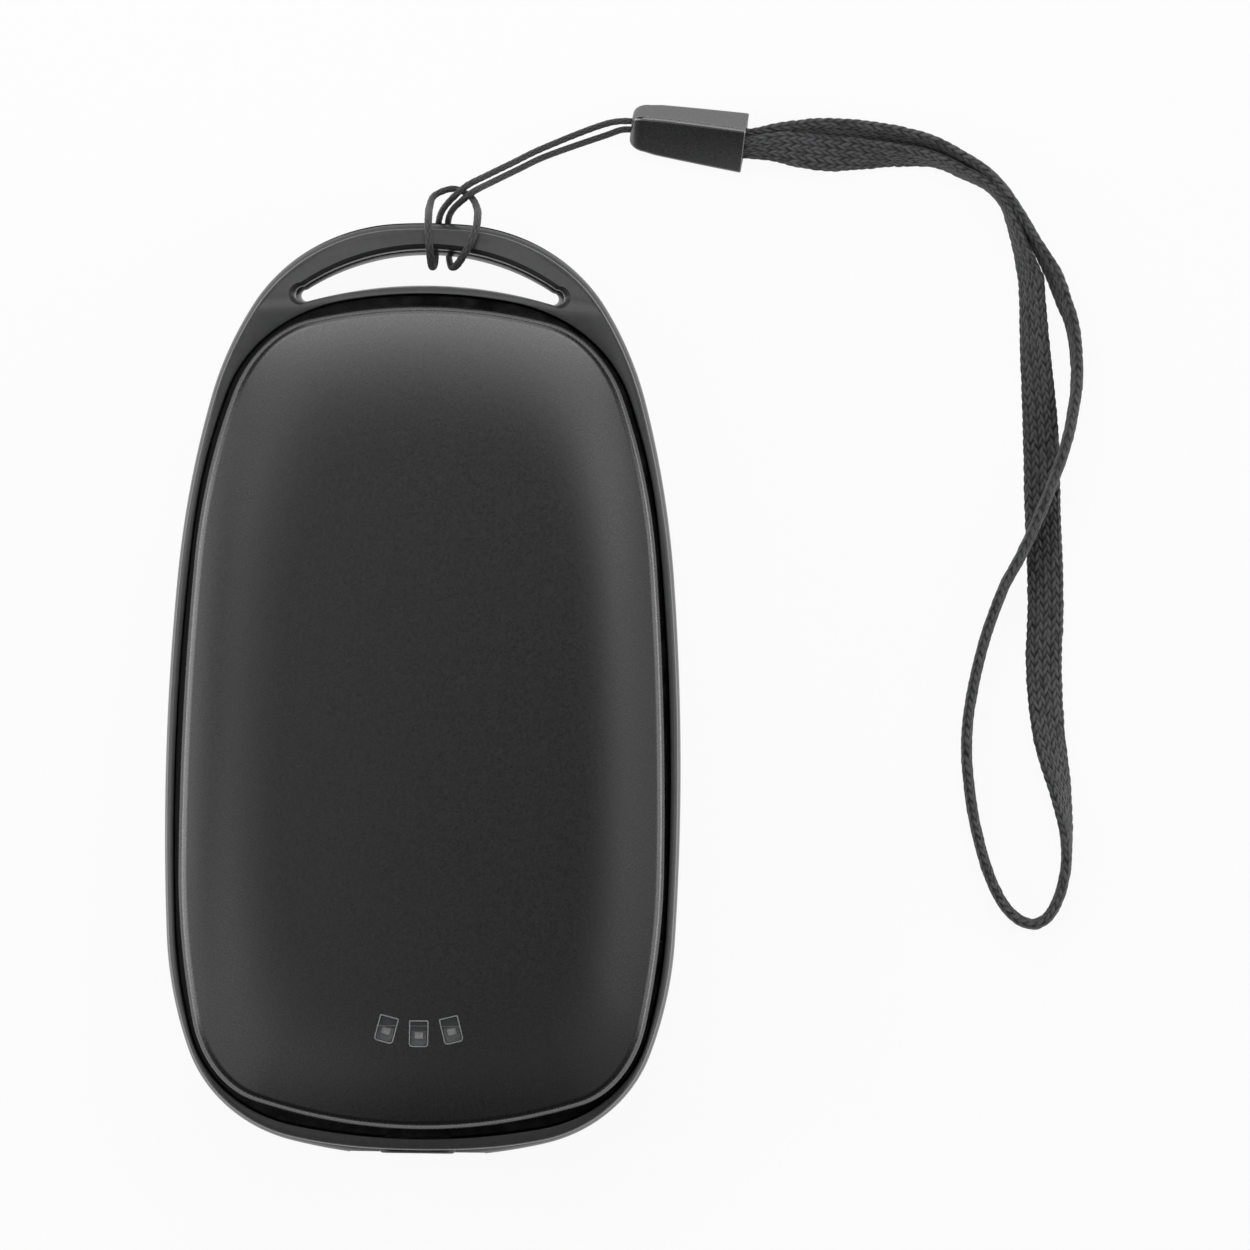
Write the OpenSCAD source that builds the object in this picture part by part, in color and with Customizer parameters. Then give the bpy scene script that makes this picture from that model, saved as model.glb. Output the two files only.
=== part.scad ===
// Rechargeable hand warmer with two heating panels, a lanyard loop and a wrist strap.
// Millimetres. +Z is up out of the front panel and +Y points to the lanyard loop.
// The body lies on its rear panel at Z = 0, centred on X = 0 and Y = 0.

/* [Body] */
// Length of the body over the lanyard loop
body_l = 110; // [100:0.5:130]
// Width of the body at its widest place
body_w = 61; // [58:0.5:75]
// Thickness over the two panels
body_t = 25; // [24:0.5:30]

/* [Frame] */
// Thickness of the frame between its front and rear lips
frame_t = 17.6; // [16.6:0.2:18.4]
// Width of the frame beside the panels, seen from the front
side_lip = 1.1; // [1:0.05:1.8]
// Width of the frame below the panels, seen from the front
bottom_lip = 1.7; // [1.4:0.1:2.4]
// Size of the bevels that make the crease between the frame halves
crease = 0.25; // [0.1:0.05:0.4]

/* [Lanyard loop] */
// Thickness of the loop at its tip
loop_t = 10; // [8:0.5:14]
// Width of the loop's bar at its middle
bar_w = 3.8; // [3:0.1:5]
// Length of the slot
slot_l = 30.7; // [24:0.5:32]
// Width of the slot at its middle
slot_h = 3.6; // [3:0.1:4.5]
// Width of the bridge between the slot and the panels
bridge_w = 1.05; // [1:0.05:2]
// How much the slot widens from its middle to each face
slot_flare = 1.1; // [0.4:0.1:1.4]

/* [Panels] */
// Gap between the frame and a panel at the sides
groove_side = 0.75; // [0.6:0.05:1.4]
// Gap between the frame and a panel at the loop end
groove_top = 1.5; // [0.8:0.05:1.8]
// Gap between the frame and a panel at the port end
groove_bottom = 1.15; // [0.8:0.05:2]
// Thickness of the aluminium
panel_wall = 1.2; // [0.8:0.1:1.6]
// Rise of the crown from the rim to the flat middle
crown_rise = 1.2; // [0.8:0.1:1.6]
// Width of the crown at the sides
crown_side = 9; // [6:0.5:12]
// Length of the crown at the ends
crown_end = 15; // [10:0.5:20]
// Radius of the panel's rim
rim_r = 2; // [1:0.1:2.2]

/* [Chassis] */
// Gap between the chassis and the frame
fit_gap = 0.25; // [0.15:0.05:0.4]
// Thickness of the chassis wall
chassis_wall = 1.5; // [1.2:0.1:2]
// Thickness of the chassis deck under a panel
deck_t = 1.6; // [1.2:0.1:2]
// Height of the groove's floor over the parting plane
ledge_h = 6.9; // [6.6:0.1:7.2]
// Height of the deck over the groove's floor
deck_step = 1; // [0.6:0.1:1.2]
// How far the locating rib stands out of the chassis
rib_out = 0.45; // [0.35:0.05:0.5]
// Height of the locating rib on each chassis half
rib_h = 0.8; // [0.6:0.1:1.2]

/* [Screws] */
// Diameter of the chassis screw's thread
screw_d = 2.2; // [2:0.1:2.6]
// Diameter of the chassis screw's head
screw_head_d = 4.2; // [3.8:0.1:4.6]
// Height of the chassis screw's head
screw_head_h = 1.4; // [1.2:0.1:1.6]
// Length of the chassis screw under its head
screw_l = 9; // [7:0.5:10]
// Diameter of the chassis bosses
boss_d = 5.6; // [5.2:0.1:6]
// Diameter of the board screw's thread
board_screw_d = 1.6; // [1.4:0.1:1.8]
// Length of the board screw under its head
board_screw_l = 4; // [3:0.5:5]

/* [Battery] */
// Room in the frame's opening on each side of the battery pouch
cell_side = 8.4; // [7.5:0.05:10]
// Room between the battery pouch and the screw bosses at the loop end
cell_end = 5.55; // [5:0.05:9]
// Thickness of the battery pouch
cell_t = 11.2; // [9:0.1:11.8]
// Thickness of the tape under the battery
tape_t = 0.4; // [0.2:0.1:0.6]
// Radius of the pouch's long edges
cell_r = 2; // [1:0.5:3]

/* [Board] */
// Width of the main board
board_w = 30; // [28:0.5:31]
// Length of the main board without its tongue
board_l = 16; // [14:0.5:16]
// Width of the tongue that carries the socket
tongue_w = 16; // [12:0.5:17]
// Thickness of the main board
board_t = 1.2; // [0.8:0.1:1.6]

/* [Port and button] */
// Width of the flat in the port end
recess_w = 16; // [14:0.5:20]
// Depth of the flat at its edges
recess_depth = 0.05; // [0:0.05:0.5]
// Height of the port's middle over the rear panel
port_z = 9; // [8.8:0.1:9.2]
// Width of the USB-C socket
port_w = 8.94; // [8.94:0.01:9.1]
// Height of the USB-C socket
port_h = 3.2; // [3.16:0.02:3.26]
// Length of the USB-C socket
port_l = 7.35; // [6.8:0.05:8]
// Width of the power button
button_w = 9; // [6:0.5:11]
// Height of the power button
button_h = 3.2; // [2.6:0.1:3.2]
// Gap around the power button
button_gap = 0.15; // [0.1:0.05:0.2]
// Travel of the power button
button_travel = 0.4; // [0.2:0.05:0.5]

/* [Indicator windows] */
// Width of a window
window_w = 2.3; // [1.6:0.1:3]
// Length of a window
window_l = 3.2; // [2.4:0.1:4]
// Radius of the fan that the windows stand on
fan_r = 15.5; // [13:0.5:18]
// Angle between neighbouring windows
fan_step = 14.3; // [12:0.1:20]
// Distance of the middle window from the panel's port end
window_inset = 11.35; // [10.5:0.05:12]

/* [Wrist strap] */
// Diameter of the thin cord
cord_d = 0.8; // [0.6:0.1:1]
// Width of the webbing
webbing_w = 4.4; // [3.6:0.1:5]
// Thickness of the webbing
webbing_t = 1.3; // [1:0.1:1.5]
// Length of the crimp
crimp_l = 13.6; // [10:0.2:13.8]
// Width of the crimp at its mouth
crimp_w = 6.5; // [6:0.1:7.4]
// Thickness of the crimp at its mouth
crimp_t = 3.9; // [3.4:0.1:4.4]
// Width and thickness of the crimp's cord end as a share of its mouth
crimp_taper = 0.8; // [0.7:0.05:1]

/* [Hidden] */
$fn = 48;

// Arcs of half an outline, from the middle of the port end to the loop end: radius, degrees.
// A last arc closes each outline square to its axis. The outline is then scaled to its size.
body_arcs = [[59.7, 14.56], [17.68, 56.76], [53.9, 15.98], [370, 7.2], [139, 9.4], [46.3, 16.16],
              [21.06, 55.67]];
opening_arcs = [[67.1, 12.67], [16.34, 63.58], [74.9, 11.5], [398, 7.76], [89.6, 12.13], [18.4, 60.14]];
panel_arcs = [[78.5, 14.2], [10.39, 60.96], [57.1, 14.44], [253, 6.36], [49, 18.76], [12.42, 54.75]];
slot_top_r = 26.7;
slot_low_r = 51.8;

mid_z = body_t / 2;
lip_h = frame_t / 2;
tip_h = loop_t / 2;
loop_blend = 11;
cut = 0.5;

// The recess trims the bulge of the port end, so the bulge starts past the body's length
recess_half = recess_w / 2;
bulge = body_arcs[0][0] - sqrt(pow(body_arcs[0][0], 2) - pow(recess_half, 2));
outline_l = body_l + bulge;
outline_y = -bulge / 2;
recess_y = -body_l / 2 + recess_depth;

opening_w = body_w - 2 * side_lip;
opening_low = -body_l / 2 + bottom_lip;
slot_top = body_l / 2 - bar_w;
slot_low = slot_top - slot_h;
opening_top = slot_low - bridge_w;
opening_l = opening_top - opening_low;
opening_y = (opening_top + opening_low) / 2;

panel_w = opening_w - 2 * groove_side;
panel_low = opening_low + groove_bottom;
panel_l = opening_top - groove_top - panel_low;
panel_y = panel_low + panel_l / 2;
panel_h = mid_z;
rim_start = 15;
spigot_gap = 0.2;
rib_gap = 0.05;

// Heights over the parting plane
deck_h = ledge_h + deck_step;
deck_under = deck_h - deck_t;
heater_t = 0.3;
heater_h = panel_h - panel_wall - heater_t;
foam_t = heater_h - deck_h;
heater_inset = 1;

board_low = port_z + port_h / 2;
board_top = board_low + board_t;
board_gap = 2.4;
wall_in = opening_low + fit_gap + chassis_wall;
board_near = wall_in + 2.35;
board_far = board_near + board_l;
tongue_end = wall_in + 0.7;
port_gap = 0.15;
shell_t = 0.3;
pin_w = 6.7;
pin_t = 0.7;

boss_top = [opening_w / 2 - 14.9, opening_top - 9];
boss_low = [opening_w / 2 - 9.35, opening_low + 16];
boss_places = [boss_top, [-boss_top.x, boss_top.y], boss_low, [-boss_low.x, boss_low.y]];
pilot_gap = 0.05;
head_sink = 2;
head_seat = mid_z - deck_h + head_sink;

cell_w = opening_w - 2 * cell_side;
cell_l = boss_top.y - boss_d / 2 - cell_end - board_far - board_gap;
cell_low = mid_z - deck_under + tape_t;
cell_top = cell_low + cell_t;
cell_y = board_far + board_gap + cell_l / 2;
pad_t = mid_z + deck_under - cell_top;
pack_gap = 0.65;
pack_board = [2 * boss_top.x - boss_d - 2 * pack_gap, 3.2, 0.8];
pack_board_y = cell_y + cell_l / 2 + 0.2;
pack_board_z = mid_z - 0.5;

button_z = 15;
button_proud = 0.1;
flange_t = 0.7;
flange_rim = 0.6;
flange_y = wall_in + 0.4;
switch_y = flange_y + flange_t + 1;
switch_size = [6, 3.6, 2 * (button_z - board_top)];
plunger_d = 3;
plunger_gap = 0.08;
plunger_depth = 1.4;

window_y = panel_low + window_inset;
window_gap = 0.05;
fan_y = window_y + fan_r;
led_size = [1.25, 2, 0.8];
guide_low = board_top + led_size.z + 0.2;
web_t = 1;
web_reach = fan_r * sin(fan_step) + window_w;

post_x = board_w / 2 - 2.7;
post_places = [[post_x, board_far - 2.6], [-post_x, board_far - 2.6]];
rest_places = [[post_x, board_near + 2.2], [-post_x, board_near + 2.2]];
post_d = 3.6;
board_head = [2.8, 0.9];
lead_d = 1.1;
lead_pitch = lead_d + 0.15;
lead_hole = [8, board_far + board_gap - 1.1];
lead_hole_d = 3.2;
bead = [1.5, 3.5];

// Half a normalised outline
function arc_start(arcs, k) = k == 0 ? [0, 0, 0] :
    let (p = arc_start(arcs, k - 1), r = arcs[k - 1][0], s = arcs[k - 1][1])
    [p.x + r * (sin(p.z + s) - sin(p.z)), p.y + r * (cos(p.z) - cos(p.z + s)), p.z + s];
function closed(arcs) =
    let (p = arc_start(arcs, len(arcs)))
    concat(arcs, [[p.x / sin(p.z), 180 - p.z]]);
function arc_points(arcs, k) =
    let (p = arc_start(arcs, k), r = arcs[k][0], s = arcs[k][1],
         n = ceil(max(s / 6, r * s * PI / 180 / 8)))
    [for (i = [0:n - 1]) [p.x + r * (sin(p.z + s * i / n) - sin(p.z)),
                          p.y + r * (cos(p.z) - cos(p.z + s * i / n))]];
function half_shape(arcs) =
    let (a = closed(arcs), end = arc_start(a, len(a)),
         pts = concat([for (k = [0:len(a) - 1]) each arc_points(a, k)], [[0, end.y]]),
         w = max([for (p = pts) p.x]))
    [for (p = pts) [p.x / (2 * w), p.y / end.y - 0.5]];
body_shape = half_shape(body_arcs);
opening_shape = half_shape(opening_arcs);
panel_shape = half_shape(panel_arcs);

// A whole outline of a given width and length, from a half shape
function outline(shape, w, l, y) =
    concat([for (p = shape) [p.x * w, p.y * l + y]],
           [for (i = [len(shape) - 2:-1:1]) [-shape[i].x * w, shape[i].y * l + y]]);
function body_outline(inset) =
    outline(body_shape, body_w - 2 * inset, outline_l - 2 * inset, outline_y);
function opening_outline(grow) =
    outline(opening_shape, opening_w + 2 * grow, opening_l + 2 * grow, opening_y);
function panel_outline(ix, iy) = outline(panel_shape, panel_w - 2 * ix, panel_l - 2 * iy, panel_y);
function lift(ring, z) = [for (p = ring) [p.x, p.y, z]];

// Height of the frame's face over the parting plane: it falls towards the loop's tip
function face_h(y) =
    let (t = min(1, max(0, (y - body_l / 2 + loop_blend) / loop_blend)))
    lip_h - (lip_h - tip_h) * t * t * (3 - 2 * t);

// Both arcs of the slot, widened by a flare
function slot_upper(x, flare) = slot_top + flare - slot_top_r + sqrt(pow(slot_top_r, 2) - x * x);
function slot_lower(x, flare) = slot_low - 0.2 * flare - slot_low_r + sqrt(pow(slot_low_r, 2) - x * x);
function slot_outline(flare) =
    let (reach = slot_l / 2 + flare * 0.6 - 0.8,
         r = (slot_upper(reach, flare) - slot_lower(reach, flare)) / 2,
         end_y = (slot_upper(reach, flare) + slot_lower(reach, flare)) / 2, n = 16)
    concat([for (i = [0:n]) let (x = reach * (1 - 2 * i / n)) [x, slot_upper(x, flare)]],
           [for (a = [120:30:240]) [-reach + r * cos(a), end_y + r * sin(a)]],
           [for (i = [0:n]) let (x = reach * (2 * i / n - 1)) [x, slot_lower(x, flare)]],
           [for (a = [-60:30:60]) [reach + r * cos(a), end_y + r * sin(a)]]);

// A closed solid through rings of equal count. A ladder top spans a ring that isn't flat.
module loft(rings, ladder = false) {
    m = len(rings[0]);
    top = (len(rings) - 1) * m;
    h = m / 2;
    sides = [for (j = [0:len(rings) - 2], k = [0:m - 1])
        let (a = j * m + k, b = j * m + (k + 1) % m) each [[a, a + m, b + m], [a, b + m, b]]];
    ladder_top = concat([[top, top + m - 1, top + 1]],
        [for (i = [1:h - 2]) [top + i, top + m - i, top + m - i - 1, top + i + 1]],
        [[top + h - 1, top + h + 1, top + h]]);
    flat_top = [[for (k = [m - 1:-1:0]) top + k]];
    polyhedron([for (r = rings) each r],
        concat([[for (k = [0:m - 1]) k]], sides, ladder ? ladder_top : flat_top), convexity = 8);
}

function unit(v) = v / norm(v);
function tangent(route, i) = unit(route[min(i + 1, len(route) - 1)] - route[max(i - 1, 0)]);
function carried(n, t) = unit(n - (n * t) * t);
// Normals carried along a route without twist
function normals(route) =
    let (first = abs(tangent(route, 0).z) > 0.9 ? [1, 0, 0] : [0, 0, 1])
    [for (i = 0, n = carried(first, tangent(route, 0)); i < len(route);
        i = i + 1, n = i < len(route) ? carried(n, tangent(route, i)) : n) n];

// A round tube along a route
module tube(route, d, sides = 8) {
    up = normals(route);
    loft([for (i = [0:len(route) - 1])
        let (t = tangent(route, i), side = cross(t, up[i]))
        [for (k = [0:sides - 1]) route[i] + d / 2 * (cos(360 * k / sides) * up[i]
                                                   - sin(360 * k / sides) * side)]]);
}

// A flat tube along a route whose points carry a roll angle as their fourth value
module flat_tube(route, w, t) {
    path = [for (p = route) [p.x, p.y, p.z]];
    section = [[1, 0.5], [0.85, 1], [-0.85, 1], [-1, 0.5], [-1, -0.5], [-0.85, -1], [0.85, -1], [1, -0.5]];
    loft([for (i = [0:len(route) - 1])
        let (dir = tangent(path, i), flat = unit(cross(dir, [0, 0, 1])), rise = cross(flat, dir),
             across = cos(route[i][3]) * flat + sin(route[i][3]) * rise,
             face = cos(route[i][3]) * rise - sin(route[i][3]) * flat)
        [for (s = section) path[i] + s.x * w / 2 * across + s.y * t / 2 * face]]);
}

module stadium(w, h, l) {
    linear_extrude(l) union() {
        square([w - h, h], center = true);
        for (s = [-1, 1]) translate([s * (w - h) / 2, 0]) circle(d = h);
    }
}

// A stadium along +Y, seen from the port end
module bore_y(w, h, from, to, z) {
    translate([0, from, z]) rotate([-90, 0, 0]) stadium(w, h, to - from);
}

module at_places(places) {
    for (p = places) translate([p.x, p.y, 0]) children();
}

module front() {
    translate([0, 0, mid_z]) children();
}

module rear() {
    translate([0, 0, mid_z]) mirror([0, 0, 1]) children();
}

// Cut through the frame and the chassis for the port and for the button
module port_cut() {
    w = port_w + 2 * port_gap;
    h = port_h + 2 * port_gap;
    bore_y(w, h, -body_l / 2 - cut, wall_in + cut, port_z);
}

module button_cut() {
    w = button_w + 2 * button_gap;
    h = button_h + 2 * button_gap;
    bore_y(w, h, -body_l / 2 - cut, wall_in + cut, button_z);
}

// Half of the outer frame, upwards from the parting plane
module frame_half() {
    slot_steps = (lip_h + cut) / tip_h;
    profile = [[crease, 0], [0, crease], [0.02, lip_h * 0.4], [0.06, lip_h * 0.8],
               [0.15, lip_h * 0.95], [0.35, lip_h]];
    difference() {
        loft([for (s = profile) [for (p = body_outline(s.x)) [p.x, p.y, s.y * face_h(p.y) / lip_h]]],
            ladder = true);
        translate([0, 0, -cut]) linear_extrude(lip_h + 2 * cut) polygon(opening_outline(0));
        translate([0, 0, -cut]) linear_extrude(rib_h + rib_gap + cut)
            polygon(opening_outline(rib_out + rib_gap - fit_gap));
        loft([lift(slot_outline(-slot_flare * cut / tip_h), -cut),
              lift(slot_outline(slot_flare * slot_steps), lip_h + cut)]);
        translate([-recess_half, recess_y - recess_w, -cut]) cube([recess_w, recess_w, lip_h + 2 * cut]);
    }
}

module front_frame() color([0.17, 0.17, 0.18]) difference() {
    front() frame_half();
    button_cut();
}

module rear_frame() color([0.17, 0.17, 0.18]) difference() {
    rear() frame_half();
    port_cut();
}

// Half of the chassis, upwards from the parting plane
module chassis_half() {
    difference() {
        union() {
            linear_extrude(ledge_h) polygon(opening_outline(-fit_gap));
            linear_extrude(deck_h) polygon(panel_outline(panel_wall + spigot_gap, panel_wall + spigot_gap));
            linear_extrude(rib_h) polygon(opening_outline(rib_out - fit_gap));
        }
        translate([0, 0, -cut]) linear_extrude(deck_under + cut)
            polygon(opening_outline(-fit_gap - chassis_wall));
        translate([lead_hole.x, lead_hole.y, 0]) cylinder(d = lead_hole_d, h = deck_h + cut);
    }
}

module front_chassis() color([0.04, 0.04, 0.045]) difference() {
    union() {
        front() chassis_half();
        at_places(boss_places) translate([0, 0, mid_z]) cylinder(d = boss_d, h = deck_under + 0.1);
    }
    at_places(boss_places) translate([0, 0, mid_z - cut])
        cylinder(d = screw_d + 2 * pilot_gap, h = deck_under + cut - 0.6);
    windows(window_w + 4 * window_gap, window_l + 4 * window_gap, mid_z, body_t);
    button_cut();
}

module rear_chassis() color([0.04, 0.04, 0.045]) difference() {
    union() {
        rear() chassis_half();
        at_places(boss_places) translate([0, 0, mid_z - deck_under - 0.1])
            cylinder(d = boss_d, h = deck_under + 0.1);
        at_places(concat(post_places, rest_places)) translate([0, 0, mid_z - deck_under - 0.1])
            cylinder(d = post_d, h = board_low - mid_z + deck_under + 0.1);
    }
    at_places(boss_places) cylinder(d = screw_d + 0.3, h = body_t);
    at_places(boss_places) cylinder(d = screw_head_d + 0.4, h = head_seat);
    at_places(post_places) translate([0, 0, board_top - board_screw_l - 0.4])
        cylinder(d = board_screw_d + 2 * pilot_gap, h = board_screw_l);
    port_cut();
}

// Upwards from the parting plane: the space under a panel's outer skin
module panel_solid() {
    loft(concat([lift(panel_outline(0, 0), ledge_h)], panel_skin()));
}

function panel_skin() = concat(
    [for (i = [0:4]) let (a = 90 - (90 - rim_start) * i / 4, in = rim_r * (1 - sin(a)))
        lift(panel_outline(in, in), panel_h - crown_rise - rim_r * (cos(rim_start) - cos(a)))],
    [for (i = [3:-1:0]) let (u = i / 4, in = rim_r * (1 - sin(rim_start)))
        lift(panel_outline(crown_side + (in - crown_side) * u, crown_end + (in - crown_end) * u),
             panel_h - crown_rise * u * u)]);

module panel_half() {
    rim_in = rim_r * (1 - sin(rim_start)) + panel_wall;
    inner = concat(
        [for (i = [0:3]) let (u = i / 3)
            lift(panel_outline(crown_side + (rim_in - crown_side) * u, crown_end + (rim_in - crown_end) * u),
                 panel_h - panel_wall - crown_rise * u * u)],
        [lift(panel_outline(panel_wall, panel_wall), panel_h - crown_rise - rim_r - panel_wall / 2),
         lift(panel_outline(panel_wall, panel_wall), ledge_h),
         lift(panel_outline(0, 0), ledge_h)]);
    loft(concat(inner, panel_skin()));
}

// Upright bars on the fan under the indicator windows
module windows(w, l, from, to) {
    for (i = [-1:1]) translate([0, fan_y, from]) rotate(i * fan_step)
        translate([-w / 2, -fan_r - l / 2, 0]) cube([w, l, to - from]);
}

module front_panel() color([0.13, 0.13, 0.135]) difference() {
    front() panel_half();
    windows(window_w + 2 * window_gap, window_l + 2 * window_gap, mid_z, body_t + cut);
}

module rear_panel() color([0.13, 0.13, 0.135]) rear() panel_half();

// Heating film and foam: plates with the outline of the panel's flat middle
module middle_plate(inset, h, t) {
    translate([0, 0, h]) linear_extrude(t) polygon(panel_outline(crown_side + inset, crown_end + inset));
}

module heater_film() color([0.72, 0.42, 0.18]) middle_plate(heater_inset, heater_h, heater_t);

module front_heater() front() heater_film();

module rear_heater() rear() heater_film();

module foam_pad() color([0.85, 0.85, 0.82]) difference() {
    middle_plate(heater_inset, deck_h, foam_t - 0.05);
    translate([-bead.x, -bead.y, heater_h - bead.x - 0.3]) cube([2 * bead.x, 2 * bead.y, bead.x + 1]);
    translate([lead_hole.x, lead_hole.y, 0]) cylinder(d = lead_hole_d, h = body_t);
}

module front_foam() front() foam_pad();

module rear_foam() rear() foam_pad();

// A glass bead on the inner side of each heating film
module thermistors() color([0.75, 0.2, 0.12]) {
    front() bead_at();
    rear() bead_at();
}

module bead_at() {
    translate([0, -bead.y / 2, heater_h - bead.x / 2]) rotate([-90, 0, 0]) cylinder(d = bead.x, h = bead.y);
}

// Two leads from each heating film through a deck to the board
module heater_leads() color([0.85, 0.84, 0.8]) for (s = [-1, 1]) {
    x = lead_hole.x + s * lead_pitch / 2;
    y = lead_hole.y;
    r = lead_d / 2 + 0.02;
    tube([[x, y, mid_z + heater_h - 0.05], [x, y, mid_z + 4], [x, y - 0.3, board_top + 2.4],
          [x, y - 1.4, board_top + r + 0.4], [x, y - 3.2, board_top + r]], lead_d);
    tube([[x, y, mid_z - heater_h + 0.05], [x, y, mid_z - 6.5], [x, y - 0.3, board_low - 2.2],
          [x, y - 1.2, board_low - r - 0.4], [x, y - 2.4, board_low - r]], lead_d);
}

// Lithium polymer pouch with rounded long edges
module battery_cell() color([0.78, 0.79, 0.8])
    translate([0, cell_y + cell_l / 2, cell_low + cell_t / 2]) rotate([90, 0, 0])
        linear_extrude(cell_l) union() {
            square([cell_w - 2 * cell_r, cell_t], center = true);
            square([cell_w, cell_t - 2 * cell_r], center = true);
            for (s = [-1, 1], u = [-1, 1])
                translate([s * (cell_w / 2 - cell_r), u * (cell_t / 2 - cell_r)]) circle(r = cell_r);
        }

// A plate on the battery, inset from its sides and ends
module cell_plate(side, end, z, t) {
    translate([side - cell_w / 2, cell_y - cell_l / 2 + end, z])
        cube([cell_w - 2 * side, cell_l - 2 * end, t]);
}

module battery_tape() color([0.93, 0.93, 0.9]) cell_plate(4, 5, cell_low - tape_t, tape_t);

module battery_pad() color([0.3, 0.3, 0.32]) cell_plate(6, 8, cell_top, pad_t);

module protection_board() color([0.1, 0.35, 0.2])
    translate([-pack_board.x / 2, pack_board_y, pack_board_z]) {
        cube(pack_board);
        for (k = [0:2]) translate([pack_board.x / 2 - 3 + 4 * k, 0.6, pack_board.z]) cube([3, 2, 1]);
    }

// Two wires beside the battery, one over the other, from its protection board to the main board
module battery_leads() color([0.7, 0.1, 0.08]) for (k = [0, 1]) {
    out = -cell_w / 2 - 1;
    top_y = cell_y + cell_l / 2 + 1.2;
    low_y = cell_y - cell_l / 2 - 1.2;
    start_x = -pack_board.x / 2 + 1.6 + 2.4 * k;
    end_x = 6.5 - board_w / 2 + 1.7 * k;
    start_z = pack_board_z + pack_board.z + lead_d / 2 + 0.02;
    end_z = board_top + lead_d / 2 + 0.02;
    z = start_z + lead_pitch * k;
    tube([[start_x, top_y, start_z], [start_x - 1.6, top_y, z], [out + 2.4, top_y, z],
          [out + 0.7, top_y - 0.25, z], [out, top_y - 1.6, z], [out, cell_y, z], [out, low_y + 1.6, z],
          [out + 0.7, low_y + 0.25, z], [out + 2.4, low_y, z], [end_x - 1.7, low_y, z],
          [end_x, low_y - 1, (z + end_z) / 2], [end_x + 0.4, low_y - 2.8, end_z]], lead_d);
}

module main_board() color([0.08, 0.3, 0.18]) difference() {
    union() {
        translate([-board_w / 2, board_near, board_low]) cube([board_w, board_l, board_t]);
        translate([-tongue_w / 2, tongue_end, board_low])
            cube([tongue_w, board_near - tongue_end + 1, board_t]);
    }
    at_places(post_places) translate([0, 0, board_low - cut])
        cylinder(d = board_screw_d + 0.3, h = board_t + 2 * cut);
}

// Metal shell of the socket, open to the port end
module usb_c_socket() color([0.75, 0.76, 0.78]) difference() {
    bore_y(port_w, port_h, recess_y + 0.1, recess_y + 0.1 + port_l, port_z);
    bore_y(port_w - 2 * shell_t, port_h - 2 * shell_t, recess_y - cut, recess_y + 0.1 + port_l - 1, port_z);
}

module usb_c_tongue() color([0.08, 0.08, 0.09])
    translate([-pin_w / 2, recess_y + 0.8, port_z - pin_t / 2]) cube([pin_w, port_l - 1.7, pin_t]);

module tact_switch() color([0.2, 0.2, 0.21]) difference() {
    translate([-switch_size.x / 2, switch_y, board_top]) cube(switch_size);
    translate([0, switch_y - cut, button_z]) rotate([-90, 0, 0])
        cylinder(d = plunger_d + 2 * plunger_gap, h = plunger_depth + button_travel + cut + 0.2);
}

module switch_plunger() color([0.55, 0.1, 0.1])
    translate([0, flange_y + flange_t, button_z]) rotate([-90, 0, 0])
        cylinder(d = plunger_d, h = switch_y - flange_y - flange_t + plunger_depth);

// Oval cap with a flange behind the chassis wall
module power_button() color([0.16, 0.16, 0.17]) {
    bore_y(button_w, button_h, recess_y - button_proud, flange_y + 0.01, button_z);
    bore_y(button_w + 2 * flange_rim, button_h + flange_rim, flange_y, flange_y + flange_t, button_z);
}

module status_leds() color([0.95, 0.93, 0.8])
    windows(led_size.x, led_size.y, board_top, board_top + led_size.z);

// Three clear prongs on one web, flush with the panel's skin
module light_guide() color([0.6, 0.62, 0.63]) intersection() {
    union() {
        windows(window_w, window_l, guide_low, body_t);
        translate([-web_reach, window_y - window_l / 2 - 0.4, mid_z + deck_under - web_t])
            cube([2 * web_reach, window_l + 1.4, web_t]);
    }
    union() {
        front() panel_solid();
        translate([-web_reach, -body_l / 2, 0]) cube([2 * web_reach, body_l / 2, mid_z + ledge_h]);
    }
}

module power_inductor() color([0.25, 0.25, 0.26])
    translate([board_w / 2 - 5.4, board_near + 6.4, board_top]) cylinder(d = 6, h = 3);

module control_chips() color([0.07, 0.07, 0.08]) {
    translate([2.4 - board_w / 2, board_near + 3.8, board_top]) cube([5, 4, 1.4]);
    translate([2.6 - board_w / 2, board_near + 8.2, board_top]) cube([4, 3.2, 0.9]);
    translate([-3, board_far - 5.4, board_low - 1]) cube([6, 4.4, 1]);
}

module capacitors() color([0.72, 0.6, 0.42]) {
    for (y = [3, 5.6]) translate([-6.6, board_near + y, board_top]) cube([1.2, 2, 1]);
    for (x = [5.2, 7.8]) translate([x, board_far - 6.2, board_top]) cube([1.6, 2.4, 1.4]);
    translate([-4.4, board_far - 4.4, board_top]) cube([2.2, 2.8, 1.6]);
}

module cross_recess(d, depth) {
    for (a = [0, 90]) rotate(a) translate([-d * 0.3, -d * 0.07, 0]) cube([d * 0.6, d * 0.14, depth]);
}

// Self-tapping screws that pull the chassis halves together, under the rear panel
module chassis_screws() color([0.5, 0.5, 0.52]) at_places(boss_places) difference() {
    union() {
        translate([0, 0, head_seat - screw_head_h]) cylinder(d = screw_head_d, h = screw_head_h);
        translate([0, 0, head_seat - 0.1]) cylinder(d = screw_d, h = screw_l + 0.1);
    }
    translate([0, 0, head_seat - screw_head_h - 0.01]) cross_recess(screw_head_d, 0.7);
}

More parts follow.
